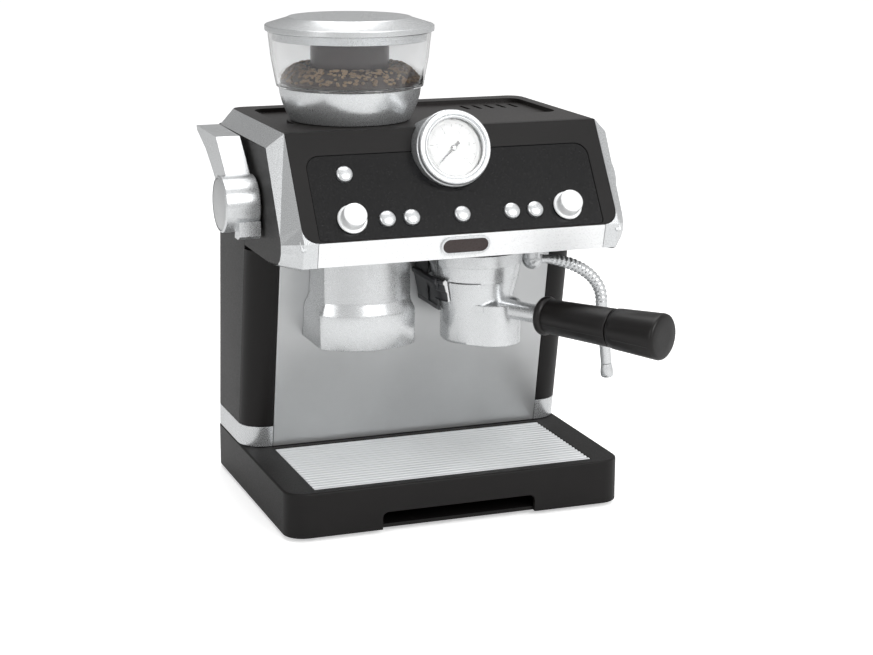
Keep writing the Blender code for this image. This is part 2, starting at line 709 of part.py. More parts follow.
def control_knob(name, side):
    """A stepped knob with a pointer ridge, on a spindle through the fascia. It turns on its own Z."""
    place, turn = on_fascia(side * KNOB_X, KNOB_RISE), FASCIA_TURN
    edge = KNOB_SKIRT_HEIGHT / 2
    profile = [
        (0, GAP - BOARD_DEPTH),
        (SPINDLE_RADIUS, GAP - BOARD_DEPTH),
        (SPINDLE_RADIUS, GAP),
        (KNOB_SKIRT_RADIUS, GAP),
        (KNOB_SKIRT_RADIUS, KNOB_SKIRT_HEIGHT),
        (KNOB_CAP_RADIUS + edge, KNOB_SKIRT_HEIGHT + edge / 2),
        (KNOB_CAP_RADIUS, KNOB_SKIRT_HEIGHT + edge),
        (KNOB_CAP_RADIUS - edge / 4, KNOB_HEIGHT - edge),
        (KNOB_CAP_RADIUS - edge, KNOB_HEIGHT),
        (0, KNOB_HEIGHT),
    ]
    knob = add(name, turned(profile[::-1], SIDES), SILVER, place, turn)
    half = KNOB_RIDGE_WIDTH / 2
    reach = KNOB_CAP_RADIUS - edge / 2
    ridge = box((-half, -reach, KNOB_HEIGHT - edge * 2), (half, reach, KNOB_HEIGHT + KNOB_RIDGE_PROUD))
    join(knob, ridge, place, turn)
    return knob


def button(name, x, rise):
    """A domed button with a stem that reaches for its switch, kept in by a collar behind the fascia."""
    place, turn = on_fascia(x, rise), FASCIA_TURN
    stem_end = -BOARD_DEPTH + BUTTON_TRAVEL + GAP
    collar = -TRIM_THICKNESS - GAP
    profile = [(0, BUTTON_PROUD)]
    for i in range(1, 5):
        angle = math.pi / 2 * i / 4
        dome = BUTTON_PROUD / 2
        profile.append((BUTTON_RADIUS * math.sin(angle), BUTTON_PROUD - dome + dome * math.cos(angle)))
    profile += [
        (BUTTON_RADIUS, collar),
        (BUTTON_RADIUS + BUTTON_RETAINER, collar),
        (BUTTON_RADIUS + BUTTON_RETAINER, collar - BUTTON_RETAINER),
        (BUTTON_STEM_RADIUS, collar - BUTTON_RETAINER),
        (BUTTON_STEM_RADIUS, stem_end),
        (0, stem_end),
    ]
    return add(name, turned(profile, FEW_SIDES), SILVER, place, turn)


def head_floor():
    """The underside of the head, from the strip back to the backsplash."""
    back = backsplash_y(HEAD_FLOOR_Z + WALL) - GAP
    start = STRIP_BOTTOM_Y + TRIM_THICKNESS + GAP
    outline = [
        (start, STRIP_BOTTOM_Z),
        (HEAD_FLOOR_FRONT_Y, HEAD_FLOOR_Z),
        (back, HEAD_FLOOR_Z),
        (back, HEAD_FLOOR_Z + WALL),
        (HEAD_FLOOR_FRONT_Y, HEAD_FLOOR_Z + WALL),
        (start, STRIP_BOTTOM_Z + WALL),
    ]
    half = INNER_HALF_WIDTH - GAP
    floor = add("head_floor", prism(outline, -half, half), BLACK)
    wide = BODY_HALF_WIDTH - TRIM_THICKNESS - GAP
    front = HEAD_FLOOR_FRONT_Y + HEAD_CHIN_RADIUS + GAP
    join(floor, box((-wide, front, HEAD_FLOOR_Z), (wide, back, HEAD_FLOOR_Z + WALL)))
    return floor


def backsplash():
    """The leaning brushed sheet between the columns, down to the tray."""
    foot, head = BASE_TOP_Z + GAP, HEAD_FLOOR_Z + WALL
    outline = [(backsplash_y(foot), foot), (backsplash_y(foot) + WALL, foot)]
    outline += [(backsplash_y(head) + WALL, head), (backsplash_y(head), head)]
    half = COLUMN_INNER_X - GAP
    return add("backsplash", prism(outline, -half, half), SATIN)


def rear_cover():
    """The back of the body between the two side panels, with four sunk screw holes."""
    heights = (BASE_TOP_Z + GAP, REAR_WAIST_Z, REAR_HEAD_Z, BODY_HEIGHT - TOP_THICKNESS - GAP)
    outline = [(rear_y(z), z) for z in heights] + [(rear_y(z) - WALL, z) for z in reversed(heights)]
    half = BODY_HALF_WIDTH - REAR_CORNER - GAP
    cover = add("rear_cover", prism(outline, -half, half), BLACK)
    for side in (-1, 1):
        for z in (BASE_TOP_Z + REAR_CORNER, REAR_HEAD_Z + REAR_CORNER * 2):
            hole = disc(DOOR_SCREW_RADIUS, -WALL - OVERRUN, OVERRUN, FEW_SIDES)
            place = (side * (half - REAR_CORNER), rear_y(z), z)
            cut(cover, hole, place, (-math.pi / 2, 0, 0))
    return cover


def top_cover():
    """The flat top, with the sunk cup rest behind the hopper and a rim below."""
    half = INNER_HALF_WIDTH - GAP
    rear = REAR_TOP_Y
    front = FASCIA_TOP_Y + TRIM_THICKNESS / math.cos(FASCIA_TILT) + GAP
    corner = RECESS_CORNER
    outline = [(half, front)] + arc((half - corner, rear - corner), corner, 0, 90, 5)
    outline += arc((corner - half, rear - corner), corner, 90, 180, 5) + [(-half, front)]
    plate = add("top_cover", prism(outline, BODY_HEIGHT - TOP_THICKNESS, BODY_HEIGHT, "Z"), BLACK)
    left, right, low, high = RECESS_LEFT_X, RECESS_RIGHT_X, RECESS_FRONT_Y, RECESS_REAR_Y
    floor = BODY_HEIGHT - RECESS_DEPTH
    well = rounded(left - WALL, right + WALL, low - WALL, high + WALL, corner + WALL)
    join(plate, prism(well, floor - WALL, BODY_HEIGHT - TOP_THICKNESS / 2, "Z"))
    cut(plate, prism(rounded(left, right, low, high, corner), floor, BODY_HEIGHT + OVERRUN, "Z"))
    island = HOPPER_FOOT_RADIUS + WALL
    join(plate, disc(island, floor - WALL / 2, BODY_HEIGHT, SIDES), (HOPPER_X, HOPPER_Y, 0))
    for k in range(5):
        x = right - RECESS_CORNER * (1.2 + k)
        slot = rounded(x, x + WALL, high - corner * 3, high - corner, WALL / 2 * 0.99, 3)
        cut(plate, prism(slot, floor - WALL * 2, BODY_HEIGHT, "Z"))
    cut_for_gauge(plate)
    return plate


def base_housing():
    """The black tray under everything: open below, sunk for the grille, with a finger notch in its skirt."""
    half, corner = BODY_HALF_WIDTH, BASE_CORNER
    outline = rounded(-half, half, BASE_FRONT_Y, BASE_REAR_Y, corner, 6)
    inset = rounded(
        BASE_EDGE - half, half - BASE_EDGE, BASE_FRONT_Y + BASE_EDGE, BASE_REAR_Y - BASE_EDGE, corner - BASE_EDGE, 6
    )
    rings = [
        [(x, y, SKIRT_BOTTOM_Z) for x, y in outline],
        [(x, y, BASE_TOP_Z - BASE_EDGE) for x, y in outline],
        [(x, y, BASE_TOP_Z) for x, y in inset],
    ]
    base = add("base_housing", loft(rings), BLACK)
    tray = BASE_TOP_Z - GRILLE_RIM_DEPTH - GAP
    inside = rounded(
        TRAY_FLOOR - half, half - TRAY_FLOOR, BASE_FRONT_Y + TRAY_FLOOR, BASE_REAR_Y - TRAY_FLOOR, corner - TRAY_FLOOR, 6
    )
    cut(base, prism(inside, SKIRT_BOTTOM_Z - OVERRUN, tray - TRAY_FLOOR, "Z"))
    wide = GRILLE_HALF_WIDTH + GAP
    recess = [(-wide, GRILLE_FRONT_Y - GAP), (wide, GRILLE_FRONT_Y - GAP)]
    recess += [(wide, GRILLE_REAR_Y + GAP), (-wide, GRILLE_REAR_Y + GAP)]
    cut(base, prism(recess, tray, BASE_TOP_Z + OVERRUN, "Z"))
    notch = rounded(
        -NOTCH_HALF_WIDTH, NOTCH_HALF_WIDTH, -NOTCH_TOP_Z, NOTCH_TOP_Z, NOTCH_CORNER, 4
    )
    cut(base, prism(notch, BASE_FRONT_Y - OVERRUN, BASE_FRONT_Y + TRAY_FLOOR + OVERRUN, "Y"))
    return base


def drip_grille():
    """The silver grille: a skin of round ribs that run across, over a rim that stands in the tray."""
    pitch = (GRILLE_REAR_Y - GRILLE_FRONT_Y) / GRILLE_RIBS
    base = BASE_TOP_Z - GRILLE_SKIN
    top = [(GRILLE_FRONT_Y, base)]
    for k in range(GRILLE_RIBS):
        start = GRILLE_FRONT_Y + k * pitch
        for share, rise in ((0.06, 0), (0.26, 0.86), (0.5, 1), (0.74, 0.86), (0.94, 0)):
            top.append((start + share * pitch, base + rise * RIB_HEIGHT))
    top.append((GRILLE_REAR_Y, base))
    under = base - GRILLE_SKIN
    outline = top + [(GRILLE_REAR_Y, under), (GRILLE_FRONT_Y, under)]
    grille = add("drip_grille", prism(outline, -GRILLE_HALF_WIDTH, GRILLE_HALF_WIDTH), SATIN)
    foot = BASE_TOP_Z - GRILLE_RIM_DEPTH
    rim = box(
        (-GRILLE_HALF_WIDTH, GRILLE_FRONT_Y, foot),
        (GRILLE_HALF_WIDTH, GRILLE_REAR_Y, under + GRILLE_SKIN / 2),
    )
    hollow = box(
        (WALL - GRILLE_HALF_WIDTH, GRILLE_FRONT_Y + WALL, foot - OVERRUN),
        (GRILLE_HALF_WIDTH - WALL, GRILLE_REAR_Y - WALL, under),
    )
    join(grille, rim)
    cut(grille, hollow)
    return grille


def battery_span():
    """The battery box in plan: x from, x to, y from, y to."""
    half = BATTERY_PITCH + BATTERY_RADIUS + GAP * 2
    room = CONTACT_ROOM + GAP * 2
    return -half, half, BATTERY_FRONT_Y - room, BATTERY_FRONT_Y + BATTERY_LENGTH + BATTERY_TIP + room


def base_plate():
    """The closing plate with the battery box's walls, the speaker's holes and the door's opening."""
    half = BODY_HALF_WIDTH - TRAY_FLOOR - GAP
    front, rear = BASE_FRONT_Y + TRAY_FLOOR + GAP, BASE_REAR_Y - TRAY_FLOOR - GAP
    corner = BASE_CORNER - TRAY_FLOOR - GAP
    plate = add("base_plate", prism(rounded(-half, half, front, rear, corner), PLATE_BOTTOM_Z, PLATE_TOP_Z, "Z"), BLACK)
    x0, x1, y0, y1 = battery_span()
    low, high = (x0 - WALL, y0 - WALL, PLATE_TOP_Z - PLATE_THICKNESS / 4), (x1 + WALL, y1 + WALL, PLATE_TOP_Z + BATTERY_WALL_HEIGHT)
    join(plate, box(low, high))
    cut(plate, box((x0, y0, PLATE_BOTTOM_Z - OVERRUN), (x1, y1, high[2] + OVERRUN)))
    lip = DOOR_MARGIN
    seat = box(
        (x0 - lip, y0 - lip, PLATE_BOTTOM_Z - OVERRUN),
        (x1 + lip, y1 + lip, PLATE_BOTTOM_Z + PLATE_THICKNESS / 2),
    )
    cut(plate, seat)
    post = disc(DOOR_SCREW_RADIUS + WALL / 2, PLATE_TOP_Z - PLATE_THICKNESS / 4, PLATE_TOP_Z + DOOR_SCREW_LENGTH, FEW_SIDES)
    place = door_screw_place()
    join(plate, post, place)
    hole = DOOR_SCREW_SHANK + SPINDLE_CLEARANCE
    through = disc(hole, PLATE_BOTTOM_Z - OVERRUN, PLATE_TOP_Z + DOOR_SCREW_LENGTH + OVERRUN, FEW_SIDES)
    cut(plate, through, place, (0, 0, math.pi / 11))
    for ring, count in ((SPEAKER_RADIUS * 0.3, 6), (SPEAKER_RADIUS * 0.62, 12)):
        for k in range(count):
            angle = 2 * math.pi * k / count
            centre = (ring * math.cos(angle), SPEAKER_Y + ring * math.sin(angle), 0)
            cut(plate, disc(SPEAKER_SLOT_RADIUS, PLATE_BOTTOM_Z - OVERRUN, PLATE_TOP_Z + OVERRUN, 8), centre)
    return plate


def door_screw_place():
    x0, x1, y0, y1 = battery_span()
    return (0, y0 - DOOR_SCREW_RADIUS - DOOR_MARGIN - WALL, 0)


def battery_door():
    """The cover over the batteries, with a tongue that takes its one screw."""
    x0, x1, y0, y1 = battery_span()
    edge = DOOR_MARGIN - GAP
    top = PLATE_BOTTOM_Z + PLATE_THICKNESS / 2 - GAP
    outline = [(x0 - edge, y0 - edge), (x1 + edge, y0 - edge), (x1 + edge, y1 + edge), (x0 - edge, y1 + edge)]
    door = add("battery_door", prism(outline, PLATE_BOTTOM_Z, top, "Z"), BLACK)
    for x in (x0 * 0.7, 0, x1 * 0.7):
        rib = box((x - WALL / 4, y0 + WALL, top - PLATE_THICKNESS / 8), (x + WALL / 4, y1 - WALL, PLATE_TOP_Z))
        if x == 0:
            rib = box((x - WALL / 4, y0 + WALL, top - PLATE_THICKNESS / 8), (x + WALL / 4, y1 - WALL, PLATE_TOP_Z - GAP))
        join(door, rib)
    return door


def door_screw():
    """A pan-head screw beside the door, with a cross slot."""
    head = DOOR_SCREW_RADIUS * 0.6
    low = PLATE_BOTTOM_Z - GAP - head
    profile = [
        (0, low),
        (DOOR_SCREW_RADIUS * 0.7, low),
        (DOOR_SCREW_RADIUS, low + head / 2),
        (DOOR_SCREW_RADIUS, PLATE_BOTTOM_Z - GAP),
        (DOOR_SCREW_SHANK, PLATE_BOTTOM_Z - GAP),
        (DOOR_SCREW_SHANK, PLATE_TOP_Z + DOOR_SCREW_LENGTH - WALL),
        (0, PLATE_TOP_Z + DOOR_SCREW_LENGTH),
    ]
    place = door_screw_place()
    screw = add("battery_door_screw", turned(profile, FEW_SIDES), STEEL, place)
    slot = DOOR_SCREW_RADIUS * 0.14
    for a, b in ((slot, DOOR_SCREW_RADIUS * 0.6), (DOOR_SCREW_RADIUS * 0.6, slot)):
        cut(screw, box((-a, -b, low - OVERRUN), (a, b, low + head / 3)), place)
    return screw


def batteries():
    """Three AA cells side by side, every second one turned round."""
    for k in (-1, 0, 1):
        profile = [
            (0, 0),
            (BATTERY_RADIUS, 0),
            (BATTERY_RADIUS, BATTERY_LENGTH),
            (BATTERY_TIP_RADIUS, BATTERY_LENGTH),
            (BATTERY_TIP_RADIUS, BATTERY_LENGTH + BATTERY_TIP),
            (0, BATTERY_LENGTH + BATTERY_TIP),
        ]
        bm = turned(profile, FEW_SIDES)
        if k == 0:
            place, turn = (0, BATTERY_FRONT_Y, BATTERY_Z), (-math.pi / 2, 0, 0)
        else:
            far = BATTERY_FRONT_Y + BATTERY_LENGTH + BATTERY_TIP
            place, turn = (k * BATTERY_PITCH, far, BATTERY_Z), (math.pi / 2, 0, 0)
        add(f"battery_{k + 2}", bm, CELL, place, turn)


def battery_contacts():
    """A bent metal strip at each end of the cells, with a cone that presses on each one."""
    x0, x1, y0, y1 = battery_span()
    half = x1 - GAP
    low, high = PLATE_TOP_Z + GAP, BATTERY_Z + BATTERY_RADIUS * 0.7
    for name, y, way in (("battery_contact_front", y0 + GAP, 1), ("battery_contact_rear", y1 - GAP, -1)):
        sides = sorted((y, y + way * CONTACT_THICKNESS))
        strip = add(name, box((-half, sides[0], low), (half, sides[1], high)), STEEL)
        for k in (-1, 0, 1):
            reach = CONTACT_ROOM - GAP - CONTACT_THICKNESS / 2
            cone = turned(
                [(0, 0), (BATTERY_TIP_RADIUS * 1.5, 0), (BATTERY_TIP_RADIUS * 0.8, reach), (0, reach)], FEW_SIDES
            )
            place = (k * BATTERY_PITCH, y + way * CONTACT_THICKNESS / 2, BATTERY_Z)
            join(strip, cone, place, (-way * math.pi / 2, 0, 0))


def feet():
    """Four rubber pads under the base plate."""
    for name, sx, sy in (
        ("foot_front_left", -1, -1),
        ("foot_front_right", 1, -1),
        ("foot_rear_left", -1, 1),
        ("foot_rear_right", 1, 1),
    ):
        x = sx * (BODY_HALF_WIDTH - FOOT_INSET_X)
        y = BASE_FRONT_Y + FOOT_INSET_Y if sy < 0 else BASE_REAR_Y - FOOT_INSET_Y
        top = PLATE_BOTTOM_Z - GAP
        profile = [(0, top), (FOOT_RADIUS, top), (FOOT_RADIUS, top / 3), (FOOT_RADIUS - top / 3, 0), (0, 0)]
        add(name, turned(profile, FEW_SIDES), RUBBER, (x, y, 0))


def speaker():
    """A small loudspeaker that lies over its holes in the base plate."""
    low = PLATE_TOP_Z + GAP
    profile = [
        (0, low + SPEAKER_FLANGE),
        (SPEAKER_RADIUS - WALL, low),
        (SPEAKER_RADIUS, low),
        (SPEAKER_RADIUS, low + SPEAKER_FLANGE),
        (SPEAKER_RADIUS - WALL, low + SPEAKER_FLANGE),
        (SPEAKER_MAGNET_RADIUS, low + SPEAKER_HEIGHT / 2 + SPEAKER_FLANGE / 2),
        (SPEAKER_MAGNET_RADIUS, low + SPEAKER_HEIGHT),
        (0, low + SPEAKER_HEIGHT),
    ]
    return add("speaker", turned(profile, FEW_SIDES), GREY, (0, SPEAKER_Y, 0))


def hopper():
    """The bean hopper: silver bowl, clear bin, smoky middle tube, moulded beans and lid."""
    place = (HOPPER_X, HOPPER_Y, 0)
    foot = BODY_HEIGHT + GAP
    rise = HOPPER_RIM_Z - foot
    swell = HOPPER_RIM_RADIUS - HOPPER_FOOT_RADIUS
    bowl = [(0, foot), (HOPPER_FOOT_RADIUS, foot)]
    for height_share, swell_share in ((0.25, 0.42), (0.5, 0.7), (0.75, 0.9), (1, 1)):
        bowl.append((HOPPER_FOOT_RADIUS + swell * swell_share, foot + rise * height_share))
    bowl += [(HOPPER_BORE_RADIUS, HOPPER_RIM_Z), (HOPPER_BORE_RADIUS, HOPPER_FLOOR_Z), (0, HOPPER_FLOOR_Z)]
    add("hopper_bowl", turned(bowl[::-1], MANY_SIDES), SILVER, place)
    low, high = HOPPER_RIM_Z + GAP, BIN_RIM_Z
    waist = blend(BIN_FOOT_RADIUS, BIN_RIM_RADIUS, 0.62)
    middle = blend(low, high, 0.5)
    shell = [
        (BIN_RIM_RADIUS, high),
        (waist, middle),
        (BIN_FOOT_RADIUS, low),
        (HOPPER_BORE_RADIUS + BIN_WALL, low),
        (HOPPER_BORE_RADIUS + BIN_WALL, low + BIN_WALL / 2),
        (BIN_FOOT_RADIUS - BIN_WALL, low + BIN_WALL),
        (waist - BIN_WALL, middle),
        (BIN_RIM_RADIUS - BIN_WALL, high),
    ]
    add("hopper_bin", turned(shell, MANY_SIDES), CLEAR, place)
    tube_foot = HOPPER_FLOOR_Z + GAP
    tube = [
        (TUBE_RADIUS, BIN_RIM_Z),
        (TUBE_RADIUS, tube_foot),
        (TUBE_RADIUS - TUBE_WALL, tube_foot),
        (TUBE_RADIUS - TUBE_WALL, BIN_RIM_Z),
    ]
    add("hopper_tube", turned(tube, SIDES), SMOKE, place)
    inner = TUBE_RADIUS + GAP
    bore = HOPPER_BORE_RADIUS - GAP
    edge = HOPPER_BORE_RADIUS + BIN_WALL
    edge = BIN_FOOT_RADIUS - BIN_WALL - GAP * 2
    heap = [
        (inner, BEAN_DIP_Z),
        (blend(inner, BEAN_CREST_RADIUS, 0.5), blend(BEAN_DIP_Z, BEAN_CREST_Z, 0.7)),
        (BEAN_CREST_RADIUS, BEAN_CREST_Z),
        (blend(BEAN_CREST_RADIUS, edge, 0.6), blend(BEAN_CREST_Z, BEAN_EDGE_Z, 0.4)),
        (edge, BEAN_EDGE_Z),
        (edge, low + BIN_WALL + GAP * 2),
        (bore, low + BIN_WALL + GAP * 2),
        (bore, tube_foot),
        (inner, tube_foot),
    ]
    add("coffee_beans", turned(heap, SIDES), BEAN, place)
    band = BIN_RIM_Z + GAP
    spigot = BIN_RIM_RADIUS - BIN_WALL - GAP * 2
    shoulder = band + LID_BAND + LID_SHOULDER_RISE
    lid = [
        (0, shoulder + LID_CROWN),
        (LID_SHOULDER_RADIUS * 0.6, shoulder + LID_CROWN),
        (LID_SHOULDER_RADIUS - LID_CROWN, shoulder + LID_CROWN * 0.8),
        (LID_SHOULDER_RADIUS, shoulder),
        (LID_RADIUS - LID_CROWN, band + LID_BAND + LID_CROWN / 2),
        (LID_RADIUS, band + LID_BAND),
        (LID_RADIUS, band + GAP),
        (LID_RADIUS - GAP, band),
        (spigot, band),
        (spigot - BIN_WALL * 0.2, band - LID_SPIGOT),
        (spigot - BIN_WALL, band - LID_SPIGOT),
        (spigot - BIN_WALL, band + LID_BAND - LID_WALL / 2),
        (LID_SHOULDER_RADIUS, shoulder - LID_WALL),
        (0, shoulder - LID_WALL),
    ]
    add("hopper_lid", turned(lid, MANY_SIDES), SILVER, place)


def gauge():
    """The round pressure gauge: drum, stepped bezel, dial, needle and lens on one leaning axis."""
    place, turn = (0, GAUGE_Y, GAUGE_Z), GAUGE_TURN
    front = -BEZEL_DEPTH - GAP
    pocket = -DIAL_DEPTH - DIAL_THICKNESS - GAP
    edge = WALL / 2
    drum = [
        (0, pocket),
        (DIAL_RADIUS + GAP, pocket),
        (DIAL_RADIUS + GAP, front),
        (GAUGE_RADIUS, front),
        (GAUGE_DRUM_RADIUS, front - edge / 2),
        (GAUGE_DRUM_RADIUS, -GAUGE_DRUM_LENGTH),
        (GAUGE_DRUM_RADIUS - WALL, -GAUGE_DRUM_LENGTH),
        (GAUGE_DRUM_RADIUS - WALL, pocket - WALL),
        (0, pocket - WALL),
    ]
    add("gauge_drum", turned(drum, MANY_SIDES), SILVER, place, turn)
    step = BEZEL_STEP_RADIUS
    bezel = [
        (BEZEL_BORE_RADIUS, -LENS_SEAT * 2),
        (BEZEL_BORE_RADIUS, -edge * 0.6),
        (blend(BEZEL_BORE_RADIUS, step, 0.5), -edge * 0.35),
        (step, -edge * 0.9),
        (step + edge * 0.3, 0),
        (blend(step, GAUGE_RADIUS, 0.7), -edge * 0.15),
        (GAUGE_RADIUS - edge * 0.2, -edge * 0.6),
        (GAUGE_RADIUS, -edge * 1.2),
        (GAUGE_RADIUS, -BEZEL_DEPTH),
        (step, -BEZEL_DEPTH),
        (step, -LENS_SEAT * 2),
    ]
    add("gauge_bezel", turned(bezel[::-1], MANY_SIDES), SILVER, place, turn)
    lens_top = -LENS_SEAT * 2 - GAP
    lens = disc(step - GAP, lens_top - LENS_THICKNESS, lens_top, SIDES)
    add("gauge_lens", lens, CLEAR, place, turn)
    dial = disc(DIAL_RADIUS, -DIAL_DEPTH - DIAL_THICKNESS, -DIAL_DEPTH, SIDES)
    add("gauge_dial", dial, WHITE, place, turn)
    low = -DIAL_DEPTH + GAP
    needle = add("gauge_needle", disc(NEEDLE_HUB_RADIUS, low, low + NEEDLE_THICKNESS, FEW_SIDES), BLACK, place, turn)
    along = Vector((math.cos(NEEDLE_ANGLE), math.sin(NEEDLE_ANGLE)))
    across = Vector((-along.y, along.x))
    tip, tail = along * NEEDLE_LENGTH, along * -NEEDLE_TAIL
    wide = across * NEEDLE_HALF_WIDTH
    blade = [tip + wide * 0.25, tail + wide * 1.4, tail - wide * 1.4, tip - wide * 0.25]
    join(needle, prism([tuple(p) for p in blade], low, low + NEEDLE_THICKNESS * 0.8, "Z"), place, turn)


def grinder_outline(inset, front_only=0.0):
    """The grinder outlet in plan: a shallow arc in front and flat sides that run back to the backsplash."""
    half = GRINDER_HALF_WIDTH - inset
    radius = GRINDER_ARC_RADIUS - inset
    spread = math.degrees(math.asin(half / radius))
    centre = (GRINDER_X, GRINDER_ARC_RADIUS - GRINDER_HALF_WIDTH * 0.4)
    front = arc(centre, radius, -90 - spread, -90 + spread, 14)
    return front, half


def grinder_ring(z, inset, back_gap):
    front, half = grinder_outline(inset)
    back = backsplash_y(z) - back_gap
    return [(x, y, z) for x, y in front] + [(GRINDER_X + half, back, z), (GRINDER_X - half, back, z)]


def grinder_housing():
    """The thin open-bottomed hood that the grounds drop from: a wider skirt, a step and a neck."""
    top = HEAD_FLOOR_Z - GAP
    levels = (
        (GRINDER_BOTTOM_Z, 0),
        (GRINDER_STEP_Z, 0),
        (GRINDER_NECK_Z, GRINDER_NECK_INSET),
        (top, GRINDER_NECK_INSET),
    )
    hood = add("grinder_outlet", loft([grinder_ring(z, inset, GAP) for z, inset in levels]), SILVER)
    inside = (
        (GRINDER_BOTTOM_Z - OVERRUN, WALL),
        (GRINDER_STEP_Z, WALL),
        (GRINDER_NECK_Z, GRINDER_NECK_INSET + WALL),
        (top - WALL, GRINDER_NECK_INSET + WALL),
    )
    cut(hood, loft([grinder_ring(z, inset, WALL + GAP) for z, inset in inside]))
    return hood


def collar_radius(z):
    """The radius of the portafilter's conical collar at this height."""
    share = (z - COLLAR_NECK_Z) / (GROUP_BAND_Z - COLLAR_NECK_Z)
    return blend(COLLAR_NECK_RADIUS, GROUP_BAND_RADIUS, max(share, 0))


def group_bracket():
    """The grey cradle round the back of the group: two shaped walls and a roof that run to the backsplash."""
    low, band, top = BRACKET_BOTTOM_Z, GROUP_BAND_Z, HEAD_FLOOR_Z - GAP
    clear = BRACKET_CLEARANCE
    inside = [(collar_radius(low) + clear, low), (GROUP_BAND_RADIUS + clear, band - clear)]
    outside = [
        (collar_radius(low) + clear + BRACKET_WALL, low),
        (GROUP_BAND_RADIUS + clear + BRACKET_WALL, band - BRACKET_BEAD * 2),
        (GROUP_BAND_RADIUS + clear + BRACKET_WALL + BRACKET_BEAD, band - BRACKET_BEAD * 1.6),
        (GROUP_BAND_RADIUS + clear + BRACKET_WALL + BRACKET_BEAD, band + BRACKET_BEAD * 0.6),
        (GROUP_BAND_RADIUS + BRACKET_WALL, band + BRACKET_BEAD),
        (GROUP_BAND_RADIUS + BRACKET_WALL, top),
    ]
    right = [(GROUP_X + r, z) for r, z in outside]
    left = [(GROUP_X - r, z) for r, z in outside]
    roof = [(GROUP_X + r, z) for r, z in inside]
    roof_left = [(GROUP_X - r, z) for r, z in inside]
    outline = right + left[::-1] + roof_left + roof[::-1]
    back = backsplash_y(low) + OVERRUN
    bracket = add("group_bracket", prism(outline, BRACKET_FRONT_Y, back, "Y"), GREY)
    face = [(backsplash_y(z) - GAP, z) for z in (low - OVERRUN, top + OVERRUN)]
    far = back + OVERRUN
    wide = GROUP_FLANGE_RADIUS + OVERRUN
    behind = face + [(far, top + OVERRUN), (far, low - OVERRUN)]
    cut(bracket, prism(behind, GROUP_X - wide, GROUP_X + wide))
    core = disc(GROUP_FLANGE_RADIUS + GAP, low - OVERRUN, top + OVERRUN, MANY_SIDES)
    cut(bracket, core, (GROUP_X, 0, 0))
    ahead = box(
        (GROUP_X, BRACKET_FRONT_Y - OVERRUN, low - OVERRUN),
        (GROUP_X + wide, BRACKET_RIGHT_FRONT_Y, top + OVERRUN),
    )
    cut(bracket, ahead)
    return bracket


def group_head():
    """The fixed group: a flange under the head and the band that the portafilter turns in."""
    top = HEAD_FLOOR_Z - GAP
    band = GROUP_BAND_Z + GAP
    profile = [
        (0, top),
        (GROUP_FLANGE_RADIUS, top),
        (GROUP_FLANGE_RADIUS, GROUP_FLANGE_Z),
        (blend(GROUP_BAND_RADIUS, GROUP_FLANGE_RADIUS, 0.75), GROUP_FLANGE_Z - GAP),
        (GROUP_BAND_RADIUS + GAP, band),
        (PORTAFILTER_PIN_RADIUS + WALL, band),
        (PORTAFILTER_PIN_RADIUS + WALL, band - WALL),
        (PORTAFILTER_PIN_RADIUS + GAP, band - WALL),
        (PORTAFILTER_PIN_RADIUS + GAP, GROUP_FLANGE_Z),
        (0, GROUP_FLANGE_Z),
    ]
    head = add("group_head", turned(profile, MANY_SIDES), SILVER, (GROUP_X, 0, 0))
    wide = GROUP_FLANGE_RADIUS + OVERRUN
    behind = (backsplash_y(top) - GAP, backsplash_y(top) + OVERRUN * 2)
    cut(head, box((GROUP_X - wide, behind[0], GROUP_FLANGE_Z - OVERRUN), (GROUP_X + wide, behind[1], top + OVERRUN)))
    return head


